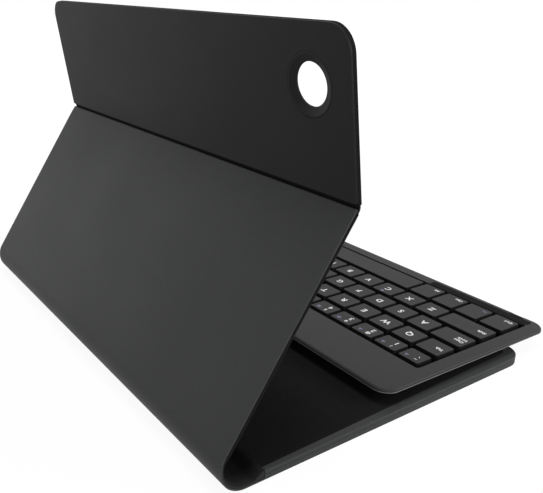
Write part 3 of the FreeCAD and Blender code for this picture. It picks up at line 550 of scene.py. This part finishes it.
# %% Make the outer cover
cover_end = stand_start + stand_reach - SKIN_TO_CREASE
cover_shape = rounded_outline(COVER_WIDTH, BASE_FRONT, cover_end, FREE_CORNER, FOLD_CORNER)
cut_across(cover_shape, [BASE_REAR] + spine_lines)
raise_faces(cover_shape, list(cover_shape.faces), SKIN, keep=True)
raise_faces(cover_shape, upward_faces(cover_shape, SKIN / 2, BASE_FRONT, BASE_REAR), BASE_SEAM - SKIN)
board_rim = []
for edge in sharp_edges(cover_shape):
    if min(vert.co.z for vert in edge.verts) > BASE_SEAM - TINY:
        board_rim.append(edge)
soften(cover_shape, board_rim, BASE_ROUNDING)
crease_rim = []
for edge in sharp_edges(cover_shape):
    outside = max(vert.co.z for vert in edge.verts) < TINY
    at_crease = min(vert.co.y for vert in edge.verts) > cover_end - FOLD_CORNER - TINY
    if outside and at_crease:
        crease_rim.append(edge)
soften(cover_shape, crease_rim, CREASE_ROUNDING, segments=4)
soften(cover_shape, sharp_edges(cover_shape), EDGE_ROUNDING)
note_flat(cover_shape)
fold_at_spine(cover_shape)
cover_wrap = make_piece("cover_wrap", cover_shape, coated_cover)
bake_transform(cover_wrap)
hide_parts("base_skin", "spine_skin", "stand_skin")

# %% [markdown]
# ## The lining
#
# On the base the coated sheet is turned in round the board as a border, and a
# soft brushed lining is laid inside it. Both stop at the board's rear edge. A
# second sheet of lining starts there on a soft wedge, which eases the step down
# into the spine, and a second wedge takes it up to the prop's board. The wedges
# only lift the upper points of a flat sheet, before it is folded, so no separate
# wedge is needed. The lining's near-black is partly its own dark colour and
# partly painted shadow over the inside of the case, and the border narrows
# towards the spine as part of the same painted shadow.

# %% Make the base's inner layer and its lining
BORDER = 6.0 * MM
PAINTED_SHADOW_TAPER = 3.6 * MM
BORDER_ROUNDING = 0.85 * MM
NAP = 0.2 * MM
STEP_CORNER = 0.4 * MM


def flat_layer(shape, low, high, rounding):
    """Raise a flat outline to a layer between two heights, with soft edges."""
    raise_faces(shape, list(shape.faces), high - low, keep=True)
    soften(shape, sharp_edges(shape), rounding)
    bmesh.ops.translate(shape, vec=(0, 0, low), verts=shape.verts)
    note_flat(shape)
    return shape


base_border_shape = flat_layer(
    rounded_outline(COVER_WIDTH, BASE_FRONT, BASE_REAR, FREE_CORNER, STEP_CORNER),
    BASE_SEAM + SEAM, BASE_TOP - NAP, BORDER_ROUNDING,
)
base_border = make_piece("base_border", base_border_shape, coated_cover)
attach(base_border, "base")

base_lining_shape = flat_layer(
    rounded_outline(
        COVER_WIDTH - 2 * BORDER, BASE_FRONT + BORDER, BASE_REAR - STEP_CORNER,
        FREE_CORNER - BORDER, STEP_CORNER,
    ),
    BASE_TOP - 2 * NAP, BASE_TOP, NAP,
)
# Painted shadow: the lining widens towards the spine, so the lit border narrows there.
for vert in base_lining_shape.verts:
    along_base = (vert.co.y - BASE_FRONT) / (BASE_REAR - BASE_FRONT)
    vert.co.x *= 1 + PAINTED_SHADOW_TAPER * along_base / (COVER_WIDTH / 2 - BORDER)
base_inside = make_piece("base_inside", base_lining_shape, brushed_lining)
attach(base_inside, "base")
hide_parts("base_lining")

# %% Find where the prop's board starts
def box_of(points):
    """Low and high corners of some points."""
    low = Vector([min(point[axis] for point in points) for axis in range(3)])
    high = Vector([max(point[axis] for point in points) for axis in range(3)])
    return low, high


def local_box(node, to_local):
    """A node's box measured along another frame's directions."""
    return box_of([to_local @ vert.co for vert in frame["nodes"][node].data.vertices])


to_stand = (Matrix.Translation(spine_end) @ stand_turn).inverted()
board_start = stand_start + local_box("stand_board", to_stand)[0].y
print("board starts", round((board_start - stand_start) / MM, 2), "mm beyond the spine")

# %% [markdown]
# In the spine the lining's near-black is partly painted shade. Towards both open
# ends, in the part of the spine nearer the base, it grades softly to a paler grey:
# a painted gradient of the light that reaches in. Its finish looks at the place on
# the flat sheet, across and along.

# %% Let the lining grow paler at the spine's ends
LIT_END_WIDTH = 8 * MM
SPINE_FADE = 8 * MM
PALE_LINING = grey(0.03)
spine_lining = brushed_lining.copy()
spine_lining.name = "spine_lining"
lining_tree = spine_lining.node_tree
sheet_place = lining_tree.nodes["Attribute"].outputs["Vector"]
across_sheet = part_along(spine_lining, sheet_place, (1, 0, 0))
along_sheet = part_along(spine_lining, sheet_place, (0, 1, 0))
from_middle = calculate(lining_tree, "ABSOLUTE", across_sheet)
near_end = ramp(spine_lining, from_middle, COVER_WIDTH / 2 - LIT_END_WIDTH, COVER_WIDTH / 2)
in_spine = ramp(spine_lining, along_sheet, stand_start, stand_start - SPINE_FADE)
# Painted light: the near-black lining grades softly to a paler grey near the spine's open ends.
mix_in(spine_lining, calculate(lining_tree, "MULTIPLY", near_end, in_spine), PALE_LINING)
print("spine lining grows paler over", round(LIT_END_WIDTH / MM, 1), "mm")

# %% Make the lining of spine and prop
STEP_GAP = 0.05 * MM
WEDGE_REACH = 6.0 * MM
WEDGE_STEPS = 10
LINING_ROUNDING = 0.2 * MM
wedge_start = BASE_REAR + STEP_GAP
board_wedge_start = board_start - WEDGE_REACH
wedge_lines = []
for start in (wedge_start, board_wedge_start):
    wedge_lines += [start + WEDGE_REACH * step / WEDGE_STEPS for step in range(1, WEDGE_STEPS + 1)]
stand_lining_shape = rounded_outline(
    COVER_WIDTH, wedge_start, stand_start + stand_reach - LINING_TO_CREASE, STEP_CORNER, FOLD_CORNER
)
cut_across(stand_lining_shape, wedge_lines + spine_lines)
SHEET = SPINE_INSIDE - SKIN - SEAM
raise_faces(stand_lining_shape, list(stand_lining_shape.faces), SHEET, keep=True)
soften(stand_lining_shape, sharp_edges(stand_lining_shape), LINING_ROUNDING)


def eased(place, start):
    """0 before a start, then a soft rise to 1 over the length of a wedge."""
    share = min(max((place - start) / WEDGE_REACH, 0), 1)
    return 0.5 - 0.5 * math.cos(math.pi * share)


for vert in stand_lining_shape.verts:
    over_base = (1 - eased(vert.co.y, wedge_start)) * (BASE_TOP - NAP - SPINE_INSIDE)
    over_board = eased(vert.co.y, board_wedge_start) * (PANEL - SPINE_INSIDE)
    vert.co.z += SKIN + SEAM + (over_base + over_board) * vert.co.z / SHEET
note_flat(stand_lining_shape)
fold_at_spine(stand_lining_shape)
stand_inside = make_piece("stand_inside", stand_lining_shape, spine_lining)
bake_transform(stand_inside)
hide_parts("spine_lining", "stand_lining")

# %% [markdown]
# ## The upper panel
#
# Above the crease is a stiff panel with a round camera window near one corner.
# A boolean could cut the hole, but it leaves untidy edges. Here the outline and
# the hole are two loops of edges, and a fill between them makes the holed face,
# which is then raised and softened like the others.

# %% Sizes of the upper panel
upper_origin = crease_axis - upper_turn @ Vector((0, 0, CREASE_DEPTH))
upper_place = Matrix.Translation(upper_origin) @ upper_turn
to_upper = upper_place.inverted()
upper_high = local_box("upper_skin", to_upper)[1]
bezel_low, bezel_high = local_box("camera_bezel", to_upper)
window_middle = (bezel_low + bezel_high) / 2
WINDOW = Vector((window_middle.x, window_middle.y, 0))
BEZEL_RADIUS = (bezel_high.x - bezel_low.x) / 2
print("window at", [round(part / MM, 1) for part in WINDOW], "radius", round(BEZEL_RADIUS / MM, 2))

# %% Make the upper panel
WINDOW_STEPS = 64


def holed_outline(width, front, rear, hole_radius):
    """A rounded outline with a round hole at the camera window."""
    shape = rounded_outline(width, front, rear, FOLD_CORNER, FREE_CORNER)
    bmesh.ops.delete(shape, geom=list(shape.faces), context="FACES_ONLY")
    window_place = Matrix.Translation(WINDOW)
    bmesh.ops.create_circle(shape, segments=WINDOW_STEPS, radius=hole_radius, matrix=window_place)
    bmesh.ops.triangle_fill(shape, use_beauty=True, edges=list(shape.edges))
    return shape


def upper_layer(name, shape, low, high, finish):
    """Raise a holed outline to a layer of the upper panel and place it."""
    flat_layer(shape, low, high, EDGE_ROUNDING)
    bmesh.ops.transform(shape, matrix=upper_place, verts=shape.verts)
    layer = make_piece(name, shape, finish)
    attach(layer, "upper")
    return layer


HOLE_CLEARANCE = 0.05 * MM
GROOVE = 2.4 * MM
upper_outside = upper_layer(
    "upper_outside",
    holed_outline(COVER_WIDTH, GROOVE, upper_high.y, BEZEL_RADIUS + HOLE_CLEARANCE),
    0, SKIN, panel_coat_painted_shade,
)
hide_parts("upper_skin")
upper_inside = upper_layer(
    "upper_inside",
    holed_outline(COVER_WIDTH, LINING_TO_CREASE, upper_high.y, BEZEL_RADIUS + HOLE_CLEARANCE),
    SKIN + SEAM, PANEL, brushed_lining,
)
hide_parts("upper_lining")

# %% [markdown]
# ## The crease
#
# Between prop and panel the boards stop and only a strip of fabric is left, so
# the cover folds there. From outside it is a narrow dark groove. One fold line
# would show as a hard kink, so the flat strip takes the fold in a few small turns
# about its middle.

# %% Make the crease strip
STRIP_REACH = 2.8 * MM
STRIP_THICKNESS = 0.8 * MM
STRIP_INSET = 0.1 * MM
STRIP_STEP = 0.4 * MM
STRIP_SIDE_LINES = 2
strip_lines = [step * STRIP_STEP for step in range(-STRIP_SIDE_LINES, STRIP_SIDE_LINES + 1)]
strip_shape = rounded_outline(
    COVER_WIDTH - 2 * STRIP_INSET, -STRIP_REACH, STRIP_REACH, STRIP_INSET, STRIP_INSET
)
cut_across(strip_shape, strip_lines)
raise_faces(strip_shape, list(strip_shape.faces), STRIP_THICKNESS, keep=True)
bmesh.ops.translate(strip_shape, vec=(0, 0, -STRIP_THICKNESS / 2), verts=strip_shape.verts)
flat_strip = {vert: vert.co.y for vert in strip_shape.verts}
for strip_line in strip_lines:
    fold_verts = [vert for vert, place in flat_strip.items() if place > strip_line + TINY]
    pivot_verts = [vert for vert, place in flat_strip.items() if abs(place - strip_line) < TINY]
    pivot_middle = sum((vert.co for vert in pivot_verts), Vector()) / len(pivot_verts)
    strip_turn = Matrix.Rotation(-CREASE_TURN / len(strip_lines), 3, "X")
    bmesh.ops.rotate(strip_shape, cent=pivot_middle, matrix=strip_turn, verts=fold_verts)
strip_place = Matrix.Translation(crease_axis) @ stand_turn
bmesh.ops.transform(strip_shape, matrix=strip_place, verts=strip_shape.verts)
crease_strip = make_piece("crease_strip", strip_shape, crease_fabric)
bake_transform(crease_strip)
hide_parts("crease_cord")

# %% [markdown]
# ## The camera window's ring
#
# The window is edged by a moulded ring with a sloped inner face, like a wide
# countersink. Any round part is a profile spun once round its axis; the corners
# of the profile are then rounded so that each lip catches a thread of light.

# %% Spin the ring
THROAT_RADIUS = 8.15 * MM
LIP_WIDTH = 0.7 * MM
SLOPE_DEPTH = 1.1 * MM
RING_STEPS = 96
RING_ROUNDING = 0.2 * MM
ring_profile = [
    (BEZEL_RADIUS, bezel_high.z),
    (BEZEL_RADIUS, bezel_low.z),
    (BEZEL_RADIUS - LIP_WIDTH, bezel_low.z),
    (THROAT_RADIUS, SLOPE_DEPTH),
    (THROAT_RADIUS, bezel_high.z),
]
ring_shape = bmesh.new()
profile_verts = [ring_shape.verts.new((radius, 0, depth)) for radius, depth in ring_profile]
profile_edges = [
    ring_shape.edges.new((profile_verts[corner - 1], profile_verts[corner]))
    for corner in range(len(profile_verts))
]
bmesh.ops.spin(
    ring_shape, geom=profile_verts + profile_edges, cent=(0, 0, 0), axis=(0, 0, 1),
    angle=math.tau, steps=RING_STEPS, use_merge=True,
)
bmesh.ops.remove_doubles(ring_shape, verts=ring_shape.verts, dist=TINY / 10)
bmesh.ops.recalc_face_normals(ring_shape, faces=ring_shape.faces)
soften(ring_shape, sharp_edges(ring_shape, least=15), RING_ROUNDING)
ring_place = upper_place @ Matrix.Translation(WINDOW)
bmesh.ops.transform(ring_shape, matrix=ring_place, verts=ring_shape.verts)
window_ring = make_piece("window_ring", ring_shape, bezel_plastic)
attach(window_ring, "upper")
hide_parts("camera_bezel")

# %% [markdown]
# ## The grip pad
#
# On the inner face of the upper panel a thin rubber pad holds the device. The
# engineering pad has sharp edges, which look cut from card, so we make a rounded
# slab with a softened rim in its place.

# %% Make the grip pad
pad_low, pad_high = local_box("grip_pad", to_upper)
PAD_CORNER = 4 * MM
PAD_ROUNDING = 0.2 * MM
pad_middle = (pad_low.x + pad_high.x) / 2
pad_shape = rounded_outline(pad_high.x - pad_low.x, pad_low.y, pad_high.y, PAD_CORNER, PAD_CORNER)
raise_faces(pad_shape, list(pad_shape.faces), pad_high.z - pad_low.z, keep=True)
soften(pad_shape, sharp_edges(pad_shape), PAD_ROUNDING)
bmesh.ops.translate(pad_shape, vec=(pad_middle, 0, pad_low.z), verts=pad_shape.verts)
bmesh.ops.transform(pad_shape, matrix=upper_place, verts=pad_shape.verts)
pad_piece = make_piece("grip_face_pad", pad_shape, pad_rubber)
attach(pad_piece, "upper")
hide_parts("grip_pad")

# %% [markdown]
# ## The hard parts
#
# The keyboard's parts come from the frame and only need their finishes. Each
# slot of the record gets one finish; a few slots are shared by several nodes.

# %% Give every node its finish
slot_finish = {
    "upper_panel_skin": panel_coat_painted_shade,
    "cover_skin": coated_cover,
    "cover_lining": brushed_lining,
    "stiffening_board": board_fibre,
    "steel": plated_steel,
    "magnet": magnet_plate,
    "crease_cord": crease_fabric,
    "camera_bezel": bezel_plastic,
    "grip_pad": pad_rubber,
    "keyboard_case": case_plastic,
    "keyboard_cover": tray_plastic,
    "key_cap": key_plastic,
    "membrane_film": black_film,
    "dome_rubber": dome_rubber,
    "battery_foil": cell_foil,
    "circuit_board": board_green,
    "socket_shell": plated_steel,
    "light_lens": lens_clear,
    "switch_plastic": key_plastic,
    "foot_rubber": foot_rubber,
}
for subpart in frame["record"]["subparts"]:
    node_mesh = frame["nodes"][subpart["node"]].data
    node_mesh.materials.clear()
    node_mesh.materials.append(slot_finish[subpart["material_slot"]])

# %% [markdown]
# ## One key at a time
#
# Some nodes hold a whole row of keys, but print and domes belong to single keys.
# The keys of a row don't touch, so walking along the edges from any point reaches
# one key and no other. The box round its upper points is the key's top.

# %% Find the key tops
to_keyboard = keyboard_turn.inverted()
CAP_FLARE = 0.5 * MM


def islands(node):
    """The points of each connected solid in a node, in the keyboard's directions."""
    shape = bmesh.new()
    shape.from_mesh(frame["nodes"][node].data)
    bmesh.ops.remove_doubles(shape, verts=shape.verts, dist=TINY / 10)
    left = set(shape.verts)
    found = []
    while left:
        waiting = [left.pop()]
        island = []
        while waiting:
            vert = waiting.pop()
            island.append(to_keyboard @ vert.co)
            near = {edge.other_vert(vert) for edge in vert.link_edges} & left
            left -= near
            waiting.extend(near)
        found.append(island)
    shape.free()
    return found


def cap_tops(node):
    """Low and high corners of each cap's top in a node, from left to right."""
    tops = []
    for island in islands(node):
        height = max(point.z for point in island)
        low, high = box_of([point for point in island if height - point.z < CAP_FLARE])
        low.z = height
        tops.append((low, high))
    return sorted(tops, key=lambda top: top[0].x)


print("number row tops", len(cap_tops("keys_number_row")))

# %% [markdown]
# ## The rubber domes
#
# Under every key a small rubber dome pushes it up again. Rubber gives way: the
# dome's foot stays on the membrane while its crown goes down with the key. A rigid
# dome would come through a pressed key, so each key gets domes of its own. All
# domes are alike and stand equally high, so the first one gives the foot and the
# crown of every dome.

# %% Make the rubber domes
DOME_CROWN = 1.6 * MM
DOME_ROUNDING = 0.3 * MM
DOME_STEPS = 24
dome_boxes = [box_of(island) for island in islands("rubber_domes")]
dome_boxes.sort(key=lambda box: tuple(box[0]))
first_low, first_high = dome_boxes[0]
dome_height = first_high.z - first_low.z
dome_foot = (first_high.x - first_low.x) / 2
crown = keyboard_turn @ first_high
pressed = [name.removesuffix("_press") for name in joints if name.endswith("_press")]
for body in pressed:
    dome_shape = bmesh.new()
    for cap_low, cap_high in cap_tops(body):
        for dome_low, dome_high in dome_boxes:
            dome_middle = (dome_low + dome_high) / 2
            if cap_low.x < dome_middle.x < cap_high.x and cap_low.y < dome_middle.y < cap_high.y:
                bmesh.ops.create_cone(
                    dome_shape, cap_ends=True, segments=DOME_STEPS, radius1=dome_foot, radius2=DOME_CROWN,
                    depth=dome_height, matrix=keyboard_turn @ Matrix.Translation(dome_middle),
                )
    crown_edges = []
    for edge in sharp_edges(dome_shape, least=30):
        if min((vert.co - crown).dot(keyboard_up) for vert in edge.verts) > -TINY:
            crown_edges.append(edge)
    soften(dome_shape, crown_edges, DOME_ROUNDING)
    domes = make_piece("dome_" + body, dome_shape, dome_rubber)
    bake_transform(domes)
    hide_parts("rubber_domes")

# %% [markdown]
# ## The print on the keys
#
# Key letters are printed in white paint, and the number row carries small blue
# marks for second functions. A picture could carry the print, but it blurs when
# seen from close by. So every letter is a text turned into a thin mesh and laid on
# its key's top, where it moves with the key.

# %% Write and place the letters
PRINT_LIFT = 0.005 * MM
PRINT_THICKNESS = 0.02 * MM
LETTER_SIZE = 5.0 * MM
WORD_SIZE = 2.7 * MM
MARK_RADIUS = 1.4 * MM
PRINT_BOLDNESS = 0.027


def text_mesh(words, size, align):
    """A line of plain text as a thin mesh, centred on its own height."""
    writing = bpy.data.curves.new("writing", "FONT")
    writing.body = words
    writing.size = size
    writing.align_x = align
    writing.align_y = "CENTER"
    writing.resolution_u = 3
    writing.extrude = PRINT_THICKNESS / 2
    writing.offset = size * PRINT_BOLDNESS
    holder = bpy.data.objects.new("writing", writing)
    bpy.context.scene.collection.objects.link(holder)
    evaluated = holder.evaluated_get(bpy.context.evaluated_depsgraph_get())
    made = bpy.data.meshes.new_from_object(evaluated)
    bpy.data.objects.remove(holder)
    bpy.data.curves.remove(writing)
    return made


def print_text(shape, words, place, size, align="CENTER"):
    """Lay a line of text on a key top."""
    made = text_mesh(words, size, align)
    before = len(shape.verts)
    shape.from_mesh(made)
    bpy.data.meshes.remove(made)
    shape.verts.ensure_lookup_table()
    lift = Vector((0, 0, PRINT_LIFT + PRINT_THICKNESS / 2))
    place_matrix = keyboard_turn @ Matrix.Translation(place + lift)
    bmesh.ops.transform(shape, matrix=place_matrix, verts=shape.verts[before:])


def print_mark(shape, corners, place, turn=0.0):
    """Lay a small filled mark with a number of corners on a key top."""
    mark_place = keyboard_turn @ Matrix.Translation(place + Vector((0, 0, PRINT_LIFT)))
    made = bmesh.ops.create_circle(
        shape, cap_ends=True, segments=corners, radius=MARK_RADIUS,
        matrix=mark_place @ Matrix.Rotation(turn, 4, "Z"),
    )
    faces = list({face for vert in made["verts"] for face in vert.link_faces})
    grown = bmesh.ops.extrude_face_region(shape, geom=faces, use_keep_orig=True)
    tops = [part for part in grown["geom"] if isinstance(part, bmesh.types.BMVert)]
    bmesh.ops.translate(shape, vec=keyboard_turn @ Vector((0, 0, PRINT_THICKNESS)), verts=tops)


def finish_print(name, shape, finish, body):
    """Make one body's print a piece that rides on it."""
    made = make_piece(name, shape, finish)
    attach(made, body)


# %% Print the letter keys
ARROWS = {"up": 0.0, "left": math.pi / 2, "down": math.pi, "right": -math.pi / 2}
ARROW_CORNERS = 3
WORD_MARGIN = 1.8 * MM
WORD_FRONT = 3.2 * MM
key_words = {
    "key_ctrl": ["Ctrl"], "key_option": ["Opt"], "key_alt": ["Alt"],
    "key_shift": ["Shift"], "key_z": ["Z"], "key_x": ["X"], "key_c": ["C"],
    "key_caps": ["Caps\nLock"], "key_a": ["A"], "key_s": ["S"], "key_d": ["D"],
    "key_tab": ["Tab"], "key_q": ["Q"], "key_w": ["W"],
    "keys_bottom_row": ["Alt", "Ctrl", "left", "down", "right"],
    "keys_lower_row": list("VBNM,./") + ["Shift", "up"],
    "keys_home_row": list("FGHJKL;'") + ["Enter"],
    "keys_upper_row": list("ERTYUIOP[]\\"),
}
bottom_row = ("key_ctrl", "key_option", "key_alt", "keys_bottom_row")


def word_place(low, high, words, at_front):
    """Where a key's words go: letters in the middle, words to one side."""
    middle = (low + high) / 2
    if at_front:
        return Vector((low.x + WORD_MARGIN, low.y + WORD_FRONT, middle.z)), "LEFT"
    if len(words) > 1:
        return Vector((low.x + WORD_MARGIN, middle.y, middle.z)), "LEFT"
    return middle, "CENTER"


for key_node, labels in key_words.items():
    key_print = bmesh.new()
    for (low, high), label in zip(cap_tops(key_node), labels):
        if label in ARROWS:
            print_mark(key_print, ARROW_CORNERS, (low + high) / 2, ARROWS[label])
            continue
        spot, align = word_place(low, high, label, key_node in bottom_row)
        size = LETTER_SIZE if len(label) == 1 else WORD_SIZE
        print_text(key_print, label, spot, size, align)
    finish_print("print_" + key_node, key_print, white_print, key_node)

# %% [markdown]
# In front of the short keys on either side of the space bar the rim carries a
# black strip of painted shade, standing in for the shade of a recess in front of
# the keys, and a smaller one paints the shade of the switch's notch in the front
# edge. Each is a thin rounded strip, with only its upper skin standing on the rim.

# %% Lay the strips of painted shade
# Painted shade: thin black strips on the rim where a recess in front of the keys and the switch's notch lie in
# shade.
SHADE_STRIP_DEPTH = 5.0 * MM
SHADE_STRIP_TO_KEYS = 2.1 * MM
SHADE_STRIP_OVER = 2.0 * MM
SHADE_STRIP_CORNER = 1.4 * MM
SHADE_STRIP_HEIGHT = 0.06 * MM
SHADE_STRIP_ROUNDING = 0.02 * MM
NOTCH_SHADE_FRONT = 1.25 * MM
NOTCH_SHADE_CORNER = 0.2 * MM
rim_low, rim_high = local_box("keyboard_top_case", to_keyboard)
switch_low, switch_high = local_box("switch_body", to_keyboard)
ctrl_low = local_box("key_ctrl", to_keyboard)[0]
alt_high = local_box("key_alt", to_keyboard)[1]
right_low, right_high = local_box("keys_bottom_row", to_keyboard)
shade_strip_rear = ctrl_low.y - SHADE_STRIP_TO_KEYS
shade_strip_front = shade_strip_rear - SHADE_STRIP_DEPTH
notch_front = rim_low.y + NOTCH_SHADE_FRONT
shade_strips = (
    ("painted_shade_front_left", ctrl_low.x - SHADE_STRIP_OVER, alt_high.x, shade_strip_front, shade_strip_rear, SHADE_STRIP_CORNER),
    ("painted_shade_front_right", right_low.x, right_high.x + SHADE_STRIP_OVER, shade_strip_front, shade_strip_rear, SHADE_STRIP_CORNER),
    ("painted_shade_notch", switch_low.x, switch_high.x, notch_front, shade_strip_front - SEAM, NOTCH_SHADE_CORNER),
)
for shade_strip_name, left, right, front, rear, corner in shade_strips:
    shade_strip_shape = rounded_outline(right - left, front, rear, corner, corner)
    raise_faces(shade_strip_shape, list(shade_strip_shape.faces), SHADE_STRIP_HEIGHT, keep=True)
    soften(shade_strip_shape, sharp_edges(shade_strip_shape), SHADE_STRIP_ROUNDING)
    shade_strip_place = Matrix.Translation(((left + right) / 2, 0, rim_high.z - SHADE_STRIP_HEIGHT / 2))
    bmesh.ops.transform(shade_strip_shape, matrix=keyboard_turn @ shade_strip_place, verts=shade_strip_shape.verts)
    shade_strip = make_piece(shade_strip_name, shade_strip_shape, black_film)
    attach(shade_strip, "keyboard")

# %% [markdown]
# The number row has two colours: a white digit towards the left front corner and
# a blue mark towards the right rear corner. The function key's word is blue too.

# %% Print the number row and the blue marks
DIGIT_SHIFT = Vector((-2.4, -1.6, 0)) * MM
SIGN_SHIFT = Vector((-2.4, 2.4, 0)) * MM
MARK_SHIFT = Vector((3.0, 2.2, 0)) * MM
C_MARK_SHIFT = Vector((0.5, 4.6, 0)) * MM
DIGIT_SIZE = 4.0 * MM
SIGN_SIZE = 2.6 * MM
MARK_CORNERS = (3, 4, 5)
C_MARK_CORNERS = 4
number_words = {
    "key_grave": [("`", "~")],
    "key_1": [("1", "!")],
    "keys_number_row": list(zip("234567890-=", "@#$%^&*()_+")),
}
for key_node, labels in number_words.items():
    white_shape = bmesh.new()
    blue_shape = bmesh.new()
    for place, ((low, high), (digit, sign)) in enumerate(zip(cap_tops(key_node), labels)):
        middle = (low + high) / 2
        print_text(white_shape, digit, middle + DIGIT_SHIFT, DIGIT_SIZE)
        print_text(white_shape, sign, middle + SIGN_SHIFT, SIGN_SIZE)
        print_mark(blue_shape, MARK_CORNERS[place % len(MARK_CORNERS)], middle + MARK_SHIFT)
    if key_node == "keys_number_row":
        low, high = cap_tops(key_node)[-1]
        print_text(white_shape, "Bksp", (low + high) / 2, WORD_SIZE)
    finish_print("print_" + key_node, white_shape, white_print, key_node)
    finish_print("marks_" + key_node, blue_shape, blue_print, key_node)

c_mark_shape = bmesh.new()
c_low, c_high = cap_tops("key_c")[0]
print_mark(c_mark_shape, C_MARK_CORNERS, (c_low + c_high) / 2 + C_MARK_SHIFT)
finish_print("marks_key_c", c_mark_shape, blue_print, "key_c")

function_shape = bmesh.new()
function_low, function_high = cap_tops("key_fn")[0]
function_spot, function_align = word_place(function_low, function_high, "Fn", True)
print_text(function_shape, "Fn", function_spot, WORD_SIZE, function_align)
finish_print("print_key_fn", function_shape, blue_print, "key_fn")

# %% [markdown]
# ## Floor and light
#
# The case stands on a plain pale sweep in a bright studio. The floor is almost
# white to the camera and fades to full white away from the case, as a sweep does
# when it is lit from behind. A large soft light behind one side leaves the prop
# softly graded from light to dark, and the rest of the room fills the shadows.

# %% Make the floor
FLOOR_SIZE = 6.0
floor_shape = bmesh.new()
bmesh.ops.create_grid(floor_shape, x_segments=1, y_segments=1, size=FLOOR_SIZE / 2)
floor_mesh = bpy.data.meshes.new("floor")
floor_shape.to_mesh(floor_mesh)
floor_shape.free()
floor = bpy.data.objects.new("floor", floor_mesh)
bpy.context.scene.collection.objects.link(floor)


def background_rays(tree):
    """1 for the rays that should see the plain background, 0 for the light on the case."""
    rays = add_node(tree, "ShaderNodeLightPath").outputs
    direct = calculate(tree, "MAXIMUM", rays["Is Camera Ray"], rays["Is Glossy Ray"])
    return calculate(tree, "MAXIMUM", rays["Is Transmission Ray"], direct)


FLOOR_SHADE = grey(0.5)
FLOOR_STRENGTH = 1.1
FLOOR_GLOW = 0.85
FLOOR_NEAR = 0.2
FLOOR_FAR = 0.7
floor_paint = bpy.data.materials.new("floor_paint")
floor_paint.use_nodes = True
floor_tree = floor_paint.node_tree
floor_tree.nodes.remove(floor_tree.nodes["Principled BSDF"])
floor_diffuse = add_node(floor_tree, "ShaderNodeBsdfDiffuse", {"Color": FLOOR_SHADE})
floor_light = add_node(floor_tree, "ShaderNodeEmission", {"Strength": FLOOR_STRENGTH})
floor_distance = add_node(floor_tree, "ShaderNodeVectorMath", operation="LENGTH")
floor_tree.links.new(surface_value(floor_paint, "Object"), floor_distance.inputs[0])
floor_fade = stretched(
    floor_tree, floor_distance.outputs["Value"],
    {"From Min": FLOOR_NEAR, "From Max": FLOOR_FAR, "To Min": FLOOR_GLOW},
)
floor_share = calculate(floor_tree, "MULTIPLY", background_rays(floor_tree), floor_fade)
floor_mix = add_node(floor_tree, "ShaderNodeMixShader")
floor_tree.links.new(floor_share, floor_mix.inputs["Fac"])
floor_tree.links.new(floor_diffuse.outputs["BSDF"], floor_mix.inputs[1])
floor_tree.links.new(floor_light.outputs["Emission"], floor_mix.inputs[2])
floor_tree.links.new(floor_mix.outputs["Shader"], floor_tree.nodes["Material Output"].inputs["Surface"])
floor_mesh.materials.append(floor_paint)
print("floor is", FLOOR_SIZE, "m wide")

# %% Fill the room with light
world = bpy.data.worlds.new("studio")
world.use_nodes = True
bpy.context.scene.world = world
ROOM_FILL = 0.03
room = world.node_tree
room_strength = stretched(room, background_rays(room), {"To Min": ROOM_FILL})
room.nodes["Background"].inputs["Color"].default_value = grey(1.0)
room.links.new(room_strength, room.nodes["Background"].inputs["Strength"])
print("room fills the shadows with", ROOM_FILL)

# %% Hang the soft lights
def softbox(name, place, aim, size, power):
    """A square soft light at a place, turned to an aim."""
    lamp_data = bpy.data.lights.new(name, "AREA")
    lamp_data.shape = "SQUARE"
    lamp_data.size = size
    lamp_data.energy = power
    lamp = bpy.data.objects.new(name, lamp_data)
    lamp.location = place
    lamp.rotation_euler = (Vector(aim) - Vector(place)).to_track_quat("-Z", "Y").to_euler()
    bpy.context.scene.collection.objects.link(lamp)
    return lamp


case_middle = (0, 0, 0.07)
prop_middle = (0, 0.06, 0.08)
key_light = softbox("key_light", (0.75, 0.5, 0.25), prop_middle, size=0.4, power=0.7)
top_light = softbox("top_light", (-0.1, 0.1, 1.3), case_middle, size=0.6, power=11)
side_light = softbox("side_light", (-0.5, -0.45, 0.3), case_middle, size=0.3, power=2.9)
back_light = softbox("back_light", (-0.9, 0.35, 0.2), case_middle, size=0.4, power=3)
print("soft lights", len(bpy.data.lights))

# %% [markdown]
# ## The view transform
#
# The picture is shown with the standard view transform.

# %% Set the view transform
bpy.context.scene.view_settings.view_transform = "Standard"
